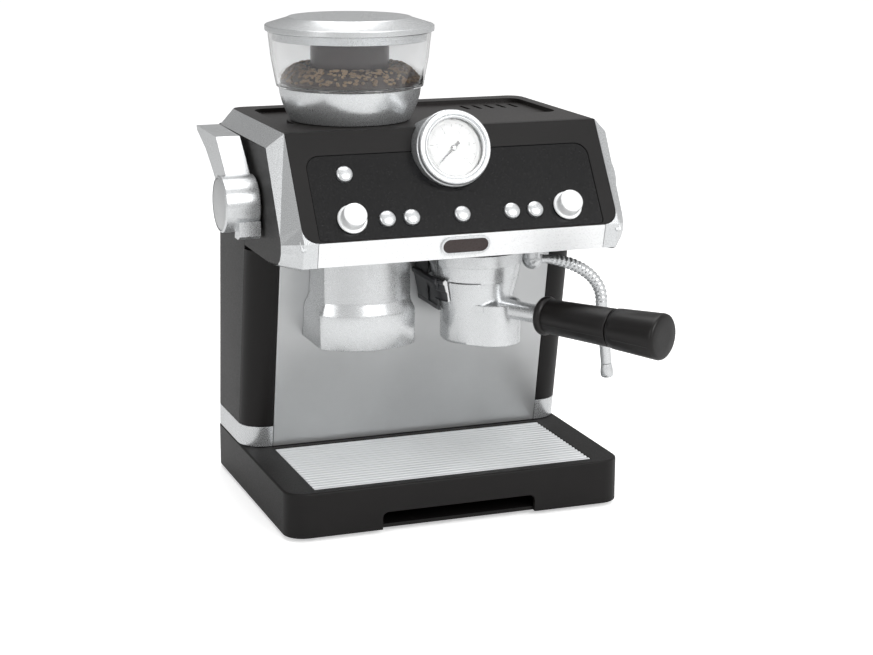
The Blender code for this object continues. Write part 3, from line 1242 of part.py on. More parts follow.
def portafilter_basket():
    """The turning cup: a conical collar on the group's axis, a basket set out towards the handle, and the neck."""
    place, turn = (GROUP_X, 0, 0), (0, 0, HANDLE_BEARING)
    rim = GROUP_BAND_Z - GAP
    floor = BASKET_BOTTOM_Z + BASKET_FLOOR
    collar = [
        (0, BASKET_BOTTOM_Z),
        (BASKET_RADIUS - WALL / 4, BASKET_BOTTOM_Z),
        (COLLAR_NECK_RADIUS, COLLAR_NECK_Z),
        (GROUP_BAND_RADIUS, rim),
        (GROUP_BAND_RADIUS - WALL, rim),
        (COLLAR_NECK_RADIUS - WALL, COLLAR_NECK_Z),
        (BASKET_RADIUS - WALL, floor),
        (PORTAFILTER_PIN_RADIUS, floor),
        (PORTAFILTER_PIN_RADIUS, GROUP_FLANGE_Z - GAP * 2),
        (0, GROUP_FLANGE_Z - GAP * 2),
    ]
    basket = add("portafilter_basket", turned(collar, MANY_SIDES), SILVER, place, turn)
    cup = disc(BASKET_RADIUS, BASKET_BOTTOM_Z, BASKET_RIM_Z, MANY_SIDES)
    bmesh.ops.translate(cup, verts=cup.verts, vec=(BASKET_OFFSET, 0, 0))
    join(basket, cup, place, turn)
    half, high = NECK_HALF_WIDTH, NECK_HALF_HEIGHT
    section = rounded(-half, half, HANDLE_Z - high, HANDLE_Z + high, high * 0.5, 3)
    thin = rounded(-half * 0.8, half * 0.8, HANDLE_Z - high * 0.9, HANDLE_Z + high * 0.9, high * 0.45, 3)
    start = BASKET_OFFSET + BASKET_RADIUS - BASKET_WALL * 2
    neck = loft([[(start, y, z) for y, z in section], [(NECK_END, y, z) for y, z in thin]])
    join(basket, neck, place, turn)
    well = disc(BASKET_RADIUS - BASKET_WALL, floor, BASKET_RIM_Z + OVERRUN, MANY_SIDES)
    bmesh.ops.translate(well, verts=well.verts, vec=(BASKET_OFFSET, 0, 0))
    bore = turned(
        [
            (COLLAR_NECK_RADIUS + OVERRUN, BASKET_BOTTOM_Z + OVERRUN / 2),
            (GROUP_BAND_RADIUS + OVERRUN * 2, BASKET_RIM_Z + OVERRUN * 2),
            (BASKET_OFFSET + BASKET_RADIUS + OVERRUN, BASKET_RIM_Z + OVERRUN * 2),
            (BASKET_OFFSET + BASKET_RADIUS + OVERRUN, BASKET_BOTTOM_Z + OVERRUN / 2),
        ][::-1],
        MANY_SIDES,
    )
    bore.free()
    front = helper(well, place, turn)
    keep = disc(COLLAR_NECK_RADIUS, BASKET_BOTTOM_Z - OVERRUN, BASKET_RIM_Z + OVERRUN * 2, MANY_SIDES)
    boolean(front, helper(keep, place, turn), "DIFFERENCE")
    boolean(basket, front, "DIFFERENCE")
    for side in (-1, 1):
        spout = disc(SPOUT_RADIUS / 2, BASKET_BOTTOM_Z - OVERRUN, floor + OVERRUN, FEW_SIDES)
        bmesh.ops.translate(spout, verts=spout.verts, vec=(BASKET_OFFSET, side * SPOUT_SPACING, 0))
        cut(basket, spout, place, turn)
    return basket


def handle():
    """The black handle: a flanged grip with a waist and a thicker end cap."""
    place, turn = (GROUP_X, 0, 0), (0, 0, HANDLE_BEARING)
    start = NECK_END + GAP
    end = GRIP_END
    edge = CAP_EDGE / 2
    grip = [
        (0, start),
        (GRIP_FLANGE_RADIUS - edge, start),
        (GRIP_FLANGE_RADIUS, start + edge),
        (GRIP_FLANGE_RADIUS, start + GRIP_FLANGE - edge),
        (GRIP_FLANGE_RADIUS - edge, start + GRIP_FLANGE),
        (GRIP_START_RADIUS, start + GRIP_FLANGE + edge),
        (GRIP_END_RADIUS, end),
        (0, end),
    ]
    lift = Vector((0, 0, HANDLE_Z))
    bm = turned(grip, SIDES, "X")
    bmesh.ops.translate(bm, verts=bm.verts, vec=lift)
    add("handle_grip", bm, BLACK, place, turn)
    start = end + GAP
    far = start + CAP_LENGTH
    cap = [
        (0, start),
        (GRIP_END_RADIUS - edge, start),
        (CAP_START_RADIUS, start + CAP_EDGE * 2),
        (CAP_END_RADIUS, far - CAP_EDGE),
        (CAP_END_RADIUS - CAP_EDGE * 0.3, far - CAP_EDGE * 0.3),
        (CAP_END_RADIUS - CAP_EDGE, far),
        (0, far),
    ]
    bm = turned(cap, SIDES, "X")
    bmesh.ops.translate(bm, verts=bm.verts, vec=lift)
    add("handle_end_cap", bm, BLACK, place, turn)


def wand_path():
    """The wand's centre line from its ball: out sideways, over in a quarter turn and down to the tip."""
    points = []
    for i in range(25):
        angle = math.pi / 2 * i / 24
        points.append((WAND_REACH * math.sin(angle), 0, -WAND_REACH * 0.62 * (1 - math.cos(angle))))
    x, y, z = points[-1]
    for i in range(1, 7):
        share = i / 6
        points.append((x + WAND_SPREAD * share, 0, z - (WAND_DROP - WAND_REACH * 0.62) * share))
    return [Vector(p) for p in points]


def steam_wand():
    """The ribbed tube on its ball, swept along the centre line, with a plain lower end. It turns on the ball's Z."""
    path = wand_path()
    lengths = [0.0]
    for a, b in zip(path, path[1:]):
        lengths.append(lengths[-1] + (b - a).length)
    total = lengths[-1]
    ribbed = total * 0.62
    stations, count = [], int(ribbed / WAND_RIB_PITCH)
    begin = WAND_BALL_RADIUS * 0.5
    pitch = (ribbed - begin) / count
    for k in range(count):
        stations.append((begin + k * pitch, WAND_TUBE_RADIUS))
        stations.append((begin + (k + 0.5) * pitch, WAND_RIB_RADIUS))
    for k in range(7):
        stations.append((ribbed + (total - ribbed) * k / 6, WAND_TUBE_RADIUS))
    rings = []
    for at, radius in stations:
        j = max(i for i, length in enumerate(lengths) if length <= at + 1e-9)
        j = min(j, len(path) - 2)
        centre = path[j].lerp(path[j + 1], (at - lengths[j]) / (lengths[j + 1] - lengths[j]))
        ahead = (path[j + 1] - path[j]).normalized()
        side = Vector((0, 1, 0))
        up = side.cross(ahead)
        ring = []
        for k in range(12):
            angle = 2 * math.pi * k / 12
            ring.append(centre + side * radius * math.cos(angle) + up * radius * math.sin(angle))
        rings.append(ring)
    place = (WAND_X, 0, WAND_BALL_Z)
    wand = add("steam_wand", loft(rings), SILVER, place)
    ball = [(WAND_BALL_RADIUS * math.sin(math.pi * i / 12), WAND_BALL_RADIUS * math.cos(math.pi * i / 12)) for i in range(13)]
    join(wand, turned(ball, FEW_SIDES), place)
    return wand


def wand_tip():
    """The flared end of the wand, with its steam hole."""
    path = wand_path()
    end = path[-1]
    ahead = (end - path[-2]).normalized()
    lean = math.atan2(ahead.x, -ahead.z)
    profile = [
        (0, -GAP),
        (WAND_TUBE_RADIUS, -GAP),
        (WAND_TIP_RADIUS, -WAND_TIP_LENGTH * 0.4),
        (WAND_TIP_RADIUS, -WAND_TIP_LENGTH * 0.85),
        (WAND_TIP_RADIUS * 0.7, -WAND_TIP_LENGTH),
        (WAND_TIP_BORE, -WAND_TIP_LENGTH),
        (WAND_TIP_BORE, -WAND_TIP_LENGTH * 0.6),
        (0, -WAND_TIP_LENGTH * 0.6),
    ]
    bm = turned(profile, FEW_SIDES)
    bmesh.ops.rotate(bm, verts=bm.verts, matrix=Matrix.Rotation(-lean, 3, "Y"))
    bmesh.ops.translate(bm, verts=bm.verts, vec=end)
    return add("steam_wand_tip", bm, SILVER, (WAND_X, 0, WAND_BALL_Z))


def wand_socket():
    """The cup under the head that the wand's ball turns in, open on the side that the tube leaves by."""
    top = HEAD_FLOOR_Z - GAP - WAND_BALL_Z
    hollow = WAND_BALL_RADIUS + GAP
    profile = [(0, top), (SOCKET_RADIUS, top), (SOCKET_RADIUS, SOCKET_LIP)]
    profile += [(hollow * math.cos(math.asin(SOCKET_LIP / hollow)), SOCKET_LIP)]
    for i in range(1, 7):
        angle = blend(math.asin(SOCKET_LIP / hollow), math.pi / 2, i / 6)
        profile.append((hollow * math.cos(angle) if i < 6 else 0, hollow * math.sin(angle)))
    socket = add("wand_socket", turned(profile, FEW_SIDES), SILVER, (WAND_X, 0, WAND_BALL_Z))
    sweep = WAND_RIB_RADIUS + GAP * 3
    wedge = [(0, 0)] + arc((0, 0), SOCKET_RADIUS + OVERRUN, -78, 58, 8)
    side = prism([(x, y) for x, y in wedge], -OVERRUN, sweep, "Z")
    cut(socket, side, (WAND_X, 0, WAND_BALL_Z))
    return socket


def side_lever():
    """The silver lever on the left: a hub, a blade that sweeps up and back, a stop tab and the axle stub."""
    place = (0, HUB_Y, HUB_Z)
    inner, outer = -HUB_INNER_X, -HUB_INNER_X - HUB_LENGTH
    cap = HUB_CAP_THICKNESS
    through = TRIM_THICKNESS + HUB_STANDOFF
    edge = WALL / 3
    profile = [
        (0, inner + through + GAP),
        (AXLE_RADIUS, inner + through + GAP),
        (AXLE_RADIUS, inner),
        (HUB_RADIUS - edge, inner),
        (HUB_RADIUS, inner - edge),
        (HUB_RADIUS, outer + edge),
        (HUB_RADIUS - edge, outer),
        (HUB_CAP_RADIUS + GAP, outer),
        (HUB_CAP_RADIUS + GAP, outer + cap),
        (0, outer + cap),
    ]
    lever = add("side_lever", turned(profile, SIDES, "X"), SILVER, place)
    front, back, top = LEVER_FRONT_Y - HUB_Y, LEVER_BACK_Y - HUB_Y, LEVER_TOP_Z - HUB_Z
    r = HUB_RADIUS
    blade = [
        (r * 0.03, r * 0.99),
        (front, top),
        (back, top + LEVER_BLADE * 0.2),
        (back - LEVER_BLADE * 0.3, top - LEVER_BLADE * 0.7),
        (blend(front, back, 0.55), blend(r, top, 0.45)),
        (blend(front, back, 0.28), blend(r, top, 0.02)),
        (r * 1.18, r * 0.35),
        (r * 0.99, -r * 0.1),
        (0, 0),
    ]
    near = inner - LEVER_INNER
    join(lever, prism(blade, near - LEVER_WIDTH, near), place)
    tab = [(-r * 0.5, -r * 0.55), (-r - TAB_PROUD * 0.1, -r * 0.5), (-r - TAB_PROUD * 0.1, -r * 0.5 - TAB_HEIGHT * 0.8)]
    tab += [(-r * 0.8, -r * 0.5 - TAB_HEIGHT), (-r * 0.35, -r * 0.5 - TAB_HEIGHT)]
    join(lever, prism(tab, inner - TAB_WIDTH, inner - edge), place)
    return lever


def side_lever_cap():
    outer = -HUB_INNER_X - HUB_LENGTH
    profile = [
        (0, outer + HUB_CAP_THICKNESS - GAP),
        (HUB_CAP_RADIUS, outer + HUB_CAP_THICKNESS - GAP),
        (HUB_CAP_RADIUS, outer + GAP),
        (HUB_CAP_RADIUS * 0.9, outer),
        (0, outer),
    ]
    return add("side_lever_cap", turned(profile, SIDES, "X"), SATIN, (0, HUB_Y, HUB_Z))


def axle_retainer(name, side):
    """The washer and screw head that hold an axle from inside the wall."""
    start = BODY_HALF_WIDTH - TRIM_THICKNESS - GAP * 2
    profile = [(0, side * start), (AXLE_RETAINER_RADIUS, side * start)]
    profile += [(AXLE_RETAINER_RADIUS, side * (start - AXLE_RETAINER)), (AXLE_RADIUS * 0.7, side * (start - AXLE_RETAINER * 1.6))]
    profile.append((0, side * (start - AXLE_RETAINER * 1.6)))
    return add(name, turned(profile, FEW_SIDES, "X"), STEEL, (0, HUB_Y, HUB_Z))


def steam_knob():
    """The round knob on the right, with a pointer ridge on its end and its axle stub."""
    place = (0, HUB_Y, HUB_Z)
    inner, outer = HUB_INNER_X, HUB_INNER_X + STEAM_KNOB_LENGTH
    through = TRIM_THICKNESS + HUB_STANDOFF
    edge = STEAM_KNOB_EDGE
    profile = [(0, inner - through - GAP), (AXLE_RADIUS, inner - through - GAP), (AXLE_RADIUS, inner)]
    profile += [(STEAM_KNOB_RADIUS - edge / 4, inner), (STEAM_KNOB_RADIUS, inner + edge / 4)]
    for i in range(5):
        angle = math.pi / 2 * i / 4
        profile.append((STEAM_KNOB_RADIUS - edge + edge * math.cos(angle), outer - edge + edge * math.sin(angle)))
    profile.append((0, outer))
    knob = add("steam_knob", turned(profile, SIDES, "X"), SILVER, place)
    half = KNOB_RIDGE_WIDTH
    ridge = box((outer - edge, -half, -STEAM_KNOB_RADIUS * 0.8), (outer + edge / 2, half, STEAM_KNOB_RADIUS * 0.8))
    join(knob, ridge, place)
    return knob


def stand_on_origin():
    """Moves everything so that the middle of the bottom of the whole box is the origin."""
    bpy.context.view_layer.update()
    graph = bpy.context.evaluated_depsgraph_get()
    corners = []
    for piece in bpy.context.scene.objects:
        if piece.hide_render:
            continue
        solid = piece.evaluated_get(graph)
        corners += [solid.matrix_world @ vertex.co for vertex in solid.data.vertices]
    low = [min(point[i] for point in corners) for i in range(3)]
    high = [max(point[i] for point in corners) for i in range(3)]
    shift = Vector((-(low[0] + high[0]) / 2, -(low[1] + high[1]) / 2, -low[2]))
    for piece in bpy.context.scene.objects:
        piece.location += shift
    print("moved by", [round(value, 6) for value in shift])
    print("box", [round(high[i] - low[i], 6) for i in range(3)])
    for piece in bpy.context.scene.objects:
        if not piece.hide_render:
            print(piece.name, "origin", [round(value, 6) for value in piece.location])


def main():
    for old in list(bpy.data.objects):
        bpy.data.objects.remove(old, do_unlink=True)
    base_housing()
    base_plate()
    battery_door()
    door_screw()
    batteries()
    battery_contacts()
    feet()
    speaker()
    drip_grille()
    backsplash()
    mirrored("left_side_panel", "right_side_panel", side_panel)
    mirrored("left_foot_ring", "right_foot_ring", foot_ring)
    mirrored("left_trim", "right_trim", trim)
    front_strip()
    badge()
    fascia()
    console_panel()
    circuit_board()
    head_floor()
    rear_cover()
    top_cover()
    hopper()
    gauge()
    mirrored("left_dial_knob", "right_dial_knob", control_knob)
    for name, x, rise in button_places():
        button(name, x, rise)
    grinder_housing()
    group_bracket()
    group_head()
    portafilter_basket()
    handle()
    wand_socket()
    steam_wand()
    wand_tip()
    side_lever()
    side_lever_cap()
    steam_knob()
    stand_on_origin()


main()
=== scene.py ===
"""Toy coffee maker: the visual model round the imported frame. Units are metres, +Z up, -Y the front."""

import json
import math
import random

import bmesh
import bpy
from mathutils import Matrix, Vector

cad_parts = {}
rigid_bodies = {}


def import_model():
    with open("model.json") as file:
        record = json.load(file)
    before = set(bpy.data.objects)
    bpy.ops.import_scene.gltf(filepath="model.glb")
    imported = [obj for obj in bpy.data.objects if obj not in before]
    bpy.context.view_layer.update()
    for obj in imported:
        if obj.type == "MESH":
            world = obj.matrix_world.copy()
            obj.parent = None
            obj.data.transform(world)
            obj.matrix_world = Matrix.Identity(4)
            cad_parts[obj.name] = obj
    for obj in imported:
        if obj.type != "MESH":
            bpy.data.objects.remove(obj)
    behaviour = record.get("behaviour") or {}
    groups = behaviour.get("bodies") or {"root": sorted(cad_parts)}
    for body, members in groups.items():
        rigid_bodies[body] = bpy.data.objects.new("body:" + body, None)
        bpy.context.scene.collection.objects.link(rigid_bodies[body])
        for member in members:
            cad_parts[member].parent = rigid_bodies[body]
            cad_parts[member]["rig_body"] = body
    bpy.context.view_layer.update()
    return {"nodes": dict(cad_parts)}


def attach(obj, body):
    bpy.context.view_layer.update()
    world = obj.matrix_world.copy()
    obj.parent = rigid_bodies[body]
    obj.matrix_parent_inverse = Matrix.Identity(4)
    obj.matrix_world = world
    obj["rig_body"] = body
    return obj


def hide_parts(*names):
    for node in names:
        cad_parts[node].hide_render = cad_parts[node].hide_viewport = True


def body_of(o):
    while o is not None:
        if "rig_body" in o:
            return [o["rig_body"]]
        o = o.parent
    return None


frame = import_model()

# The CAD layout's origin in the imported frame
SHIFT = Vector((0.00315, -0.000299, 0.0))


# Materials
def nodes_of(name):
    made = bpy.data.materials.new(name)
    made.use_nodes = True
    tree = made.node_tree
    return made, tree, tree.nodes["Principled BSDF"]


def new(tree, kind, **values):
    node = tree.nodes.new(kind)
    for key, value in values.items():
        setattr(node, key, value)
    return node


def coordinates(tree, scale):
    place = new(tree, "ShaderNodeTexCoord")
    mapping = new(tree, "ShaderNodeMapping")
    mapping.inputs["Scale"].default_value = scale
    tree.links.new(place.outputs["Object"], mapping.inputs["Vector"])
    return mapping.outputs["Vector"]


def noise(tree, scale, stretch=(1, 1, 1), detail=3.0):
    made = new(tree, "ShaderNodeTexNoise")
    made.inputs["Scale"].default_value = scale
    made.inputs["Detail"].default_value = detail
    made.inputs["Roughness"].default_value = 0.55
    tree.links.new(coordinates(tree, stretch), made.inputs["Vector"])
    return made.outputs["Fac"]


def ranged(tree, source, low, high, from_low=0.3, from_high=0.7):
    made = new(tree, "ShaderNodeMapRange")
    for key, value in (("From Min", from_low), ("From Max", from_high), ("To Min", low), ("To Max", high)):
        made.inputs[key].default_value = value
    tree.links.new(source, made.inputs["Value"])
    return made.outputs["Result"]


def tinted(tree, source, dark, light):
    ramp = new(tree, "ShaderNodeMix", data_type="RGBA")
    ramp.inputs["A"].default_value = (*dark, 1)
    ramp.inputs["B"].default_value = (*light, 1)
    tree.links.new(ranged(tree, source, 0, 1), ramp.inputs["Factor"])
    return ramp.outputs["Result"]


def bump(tree, shader, source, strength, distance):
    made = new(tree, "ShaderNodeBump")
    made.inputs["Strength"].default_value = strength
    made.inputs["Distance"].default_value = distance
    tree.links.new(source, made.inputs["Height"])
    tree.links.new(made.outputs["Normal"], shader.inputs["Normal"])


def moulded(
    name, dark, light, rough,
    grain=1700, depth=0.00004, strength=0.35, metallic=0.0, stretch=(1, 1, 1), gleam=0.5,
):
    """Moulded or painted plastic: slight patches of colour, a fine grain and uneven gloss."""
    made, tree, shader = nodes_of(name)
    patches = noise(tree, 26, detail=4)
    fine = noise(tree, grain, stretch, detail=2)
    tree.links.new(tinted(tree, patches, dark, light), shader.inputs["Base Color"])
    tree.links.new(ranged(tree, fine, rough - 0.05, rough + 0.06), shader.inputs["Roughness"])
    shader.inputs["Metallic"].default_value = metallic
    shader.inputs["Specular IOR Level"].default_value = gleam
    bump(tree, shader, fine, strength, depth)
    return made


def see_through(name, colour, rough, transmission=1.0):
    made, tree, shader = nodes_of(name)
    shader.inputs["Transmission Weight"].default_value = transmission
    shader.inputs["IOR"].default_value = 1.46
    patches = noise(tree, 60)
    lighter = [min(1, c * 1.03) for c in colour]
    tree.links.new(tinted(tree, patches, colour, lighter), shader.inputs["Base Color"])
    tree.links.new(ranged(tree, patches, rough, rough + 0.02), shader.inputs["Roughness"])
    return made


FINE = {"grain": 2600, "depth": 0.00001, "strength": 0.08}
BLACK = moulded("black_moulded", (0.0052, 0.0046, 0.0045), (0.0072, 0.0064, 0.0062), 0.46, gleam=0.22)
# Lighter, browner copy of the black for the top face: painted light, the top catching more light than the sides.
TOP_BLACK_LIT = moulded("top_black_painted_light", (0.0090, 0.0072, 0.0066), (0.0115, 0.0094, 0.0086), 0.42, gleam=0.35)
HANDLE = moulded(
    "handle_black", (0.0042, 0.0036, 0.0036), (0.0060, 0.0052, 0.0050),
    0.34, grain=1300, gleam=0.3
)
GLOSS = moulded(
    "console_gloss", (0.0022, 0.0021, 0.0024), (0.0030, 0.0029, 0.0032),
    0.22, grain=900, depth=0.00001, strength=0.1, gleam=0.3
)
SILVER = moulded("silver_paint", (0.610, 0.622, 0.630), (0.640, 0.651, 0.659), 0.27, metallic=0.78, **FINE)
# Lighter copy of the silver paint: a painted highlight for the floor and lamps that the front strip and knob caps
# reflect.
SILVER_HIGHLIGHT = moulded("silver_painted_highlight", (0.800, 0.810, 0.815), (0.830, 0.838, 0.842), 0.30, metallic=0.35, **FINE)
# Near-white for the cut edge: partly its own pale plastic, partly a painted highlight where the edge catches the
# light.
EDGE_PALE_AND_HIGHLIGHT = moulded("cut_edge_pale_and_highlight", (0.86, 0.87, 0.87), (0.90, 0.90, 0.90), 0.4, metallic=0.1, **FINE)
BRUSHED = moulded(
    "brushed_silver", (0.500, 0.508, 0.510), (0.545, 0.553, 0.556),
    0.34, grain=1500, depth=0.00002, strength=0.15, metallic=0.75, stretch=(0.01, 0.2, 1)
)
GRILLE = moulded("grille_silver", (0.640, 0.655, 0.665), (0.690, 0.702, 0.712), 0.36, metallic=0.4, **FINE)
# Dark grey: for the speaker, and as painted shade on the group bracket and cradle, which lie in the group head's
# shadow.
DARK_GREY_AND_SHADE = moulded("dark_grey_and_painted_shade", (0.028, 0.029, 0.032), (0.038, 0.039, 0.042), 0.42)
WHITE = moulded("dial_white", (0.80, 0.80, 0.79), (0.84, 0.84, 0.83), 0.45, **FINE)
INK = moulded("print_black", (0.012, 0.012, 0.012), (0.016, 0.016, 0.016), 0.45, **FINE)
PALE_INK = moulded("print_grey", (0.16, 0.165, 0.17), (0.19, 0.195, 0.20), 0.45, **FINE)
FIELD = moulded("badge_field", (0.020, 0.011, 0.010), (0.030, 0.018, 0.016), 0.3, **FINE)
RUBBER = moulded(
    "foot_rubber", (0.016, 0.016, 0.016), (0.024, 0.024, 0.024),
    0.8, depth=0.00006, strength=0.5
)
CLEAR = see_through("clear_bin", (0.975, 0.985, 0.99), 0.01)
LENS = see_through("gauge_lens", (0.97, 0.98, 0.98), 0.01)
SMOKE = see_through("smoky_tube", (0.070, 0.050, 0.052), 0.16, 0.35)
BEAN = moulded(
    "bean_grains", (0.040, 0.024, 0.018), (0.340, 0.230, 0.130),
    0.40, grain=500, depth=0.0001, strength=0.3
)
# Darker than any grain: the dark roast of the beans beneath, and painted shade in the gaps between the grains.
BEAN_BED_SHADE = moulded(
    "bean_bed_painted_shade", (0.020, 0.012, 0.010), (0.050, 0.032, 0.024),
    0.5, grain=500, depth=0.0004, strength=0.6
)
STEEL = moulded("bright_steel", (0.55, 0.55, 0.56), (0.62, 0.62, 0.63), 0.26, metallic=1.0)
BOARD = moulded("board_green", (0.010, 0.075, 0.030), (0.014, 0.095, 0.040), 0.4)
CELL = moulded("cell_sleeve", (0.030, 0.045, 0.110), (0.040, 0.060, 0.140), 0.3, metallic=0.3)


def dress(look, *names):
    for name in names:
        solid = frame["nodes"][name]
        solid.data.materials.clear()
        solid.data.materials.append(look)


dress(BLACK, "base_housing", "base_plate", "battery_door", "left_side_panel", "right_side_panel", "rear_cover")
dress(BLACK, "fascia", "head_floor")
# The top cover takes the lighter black: painted light on the top face.
dress(TOP_BLACK_LIT, "top_cover")
# The front strip is silver; its near-white is a painted reflection of the floor and the front lamp.
dress(SILVER_HIGHLIGHT, "front_strip")
dress(HANDLE, "handle_grip", "handle_end_cap")
dress(INK, "gauge_needle")
dress(SILVER, "left_foot_ring", "right_foot_ring", "left_trim", "right_trim", "badge")
dress(SILVER, "left_dial_knob", "right_dial_knob", "power_button", "left_outer_button", "left_inner_button")
dress(SILVER, "centre_button", "right_inner_button", "right_outer_button", "grinder_outlet", "group_head")
dress(SILVER, "portafilter_basket", "hopper_bowl", "hopper_lid", "gauge_drum", "gauge_bezel", "wand_socket")
dress(SILVER, "steam_wand", "steam_wand_tip", "side_lever", "steam_knob")
dress(BRUSHED, "backsplash", "side_lever_cap")
dress(GRILLE, "drip_grille")
dress(GLOSS, "console_panel")
# The bracket is dark grey as painted shade: it lies in the group head's shadow.
dress(DARK_GREY_AND_SHADE, "group_bracket", "speaker")
dress(CLEAR, "hopper_bin")
dress(LENS, "gauge_lens")
dress(SMOKE, "hopper_tube")
# The heap under the grains takes the darker bed colour, partly painted shade between the grains.
dress(BEAN_BED_SHADE, "coffee_beans")
dress(WHITE, "gauge_dial")
dress(STEEL, "battery_door_screw", "battery_contact_front", "battery_contact_rear")
dress(BOARD, "circuit_board")
dress(CELL, "battery_1", "battery_2", "battery_3")
dress(RUBBER, "foot_front_left", "foot_front_right", "foot_rear_left", "foot_rear_right")


# Softened edges on the CAD solids that stay
def soften(name, width):
    solid = frame["nodes"][name]
    for key in [a.name for a in solid.data.attributes if a.name == "custom_normal"]:
        solid.data.attributes.remove(solid.data.attributes[key])
    solid.data.polygons.foreach_set("use_smooth", [True] * len(solid.data.polygons))
    weld = solid.modifiers.new("Weld", "WELD")
    weld.merge_threshold = 0.000004
    bevel = solid.modifiers.new("Bevel", "BEVEL")
    bevel.width = width
    bevel.segments = 2
    bevel.limit_method = "ANGLE"
    bevel.angle_limit = math.radians(35)
    bevel.harden_normals = True


for name, width in (
    ("base_housing", 0.0006), ("left_side_panel", 0.0004), ("right_side_panel", 0.0004), ("rear_cover", 0.0004),
    ("top_cover", 0.0006), ("fascia", 0.0003), ("head_floor", 0.0003),
    ("front_strip", 0.0003), ("badge", 0.0003), ("left_foot_ring", 0.0003), ("right_foot_ring", 0.0003),
    ("backsplash", 0.0003), ("console_panel", 0.0003),
    ("group_head", 0.0004), ("side_lever", 0.0007), ("wand_socket", 0.0004),
    ("battery_door", 0.0003), ("steam_knob", 0.0003), ("hopper_bowl", 0.0003), ("hopper_lid", 0.0003),
    ("hopper_bin", 0.0002), ("hopper_tube", 0.0002), ("gauge_drum", 0.0003), ("gauge_bezel", 0.0002),
    ("side_lever_cap", 0.0002),
):
    soften(name, width)
for name in ("power", "left_outer", "left_inner", "centre", "right_inner", "right_outer"):
    soften(name + "_button", 0.0002)


# Shapes for the visible pieces, in the CAD layout's places
def arc(centre, radius, start, end, steps):
    """Points on a circle from one angle to another, in degrees."""
    turns = [math.radians(start + (end - start) * i / steps) for i in range(steps + 1)]
    return [(centre[0] + radius * math.cos(t), centre[1] + radius * math.sin(t)) for t in turns]


def between(a, b, share):
    return a + (b - a) * share


def loft(bm, rings, closed=False):
    """Faces through rings of equal count."""
    rows = [[bm.verts.new(point) for point in ring] for ring in rings]
    pairs = list(zip(rows, rows[1:])) + ([(rows[-1], rows[0])] if closed else [])
    for low, high in pairs:
        for i in range(len(low)):
            j = (i + 1) % len(low)
            bm.faces.new((low[i], low[j], high[j], high[i]))
    if not closed:
        bm.faces.new(rows[0][::-1])
        bm.faces.new(rows[-1])


def prism(bm, outline, low, high):
    loft(bm, [[(x, y, low) for x, y in outline], [(x, y, high) for x, y in outline]])


def turned(bm, profile, sides=96, along="Z"):
    """A profile of (radius, height) turned round an axis."""
    rings = []
    for k in range(sides):
        turn = 2 * math.pi * k / sides
        c, d = math.cos(turn), math.sin(turn)
        rings.append([(r * c, r * d, h) if along == "Z" else (h, r * c, r * d) for r, h in profile])
    loft(bm, rings, closed=True)
    bmesh.ops.remove_doubles(bm, verts=bm.verts, dist=1e-7)


def piece(name, bm, look, place, turn=(0, 0, 0), like=None, stands_for=(), bevel=0.0, angle=32):
    """An object of this mesh at a place of the layout. It rides with the body of the CAD node it is like."""
    bmesh.ops.recalc_face_normals(bm, faces=bm.faces)
    mesh = bpy.data.meshes.new(name)
    bm.to_mesh(mesh)
    bm.free()
    mesh.materials.append(look)
    mesh.shade_smooth()
    mesh.set_sharp_from_angle(angle=math.radians(angle))
    made = bpy.data.objects.new(name, mesh)
    made.location = Vector(place) + SHIFT
    made.rotation_euler = turn
    bpy.context.scene.collection.objects.link(made)
    if bevel:
        edge = made.modifiers.new("Bevel", "BEVEL")
        edge.width = bevel
        edge.segments = 3
        edge.limit_method = "ANGLE"
        edge.angle_limit = math.radians(angle)
        edge.harden_normals = True
    bpy.context.view_layer.update()
    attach(made, body_of(frame["nodes"][like])[0])
    if stands_for:
        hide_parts(*stands_for)


FASCIA_TILT = math.radians(33.24)
FASCIA_FOOT = Vector((0, -0.0493, 0.1740))
FASCIA_UP = Vector((0, math.sin(FASCIA_TILT), math.cos(FASCIA_TILT)))
FASCIA_TURN = (math.pi / 2 - FASCIA_TILT, 0, 0)
GROUP = (0.0254, 0, 0)
HANDLE_TURN = (0, 0, math.radians(-58.9))
HANDLE_Z = 0.1215
KNOB_X, KNOB_UP = 0.0649, 0.0130


def dial_knob(name, x):
    """A stepped knob in the lighter silver, a painted highlight: a skirt ring, a cap with a soft edge and a thin
    pointer line on its flat face.
    """
    bm = bmesh.new()
    profile = [
        (0, 0.0003), (0.0085, 0.0003), (0.0085, 0.0011), (0.0081, 0.0016), (0.0073, 0.0017), (0.0070, 0.0024),
        (0.0069, 0.0070), (0.0066, 0.0078), (0.0059, 0.0082), (0.0050, 0.0082), (0.0048, 0.0081), (0, 0.0081),
    ]
    turned(bm, profile)
    half = 0.0005
    prism(bm, [(-half, 0.0022), (half, 0.0022), (half, 0.0061), (-half, 0.0061)], 0.0078, 0.0086)
    place = FASCIA_FOOT + FASCIA_UP * KNOB_UP + Vector((x, 0, 0))
    # The whole knob takes the lighter silver: a painted highlight.
    piece(name + "_cap", bm, SILVER_HIGHLIGHT, place, FASCIA_TURN, like=name, stands_for=(name,))


dial_knob("left_dial_knob", -KNOB_X)
dial_knob("right_dial_knob", KNOB_X)


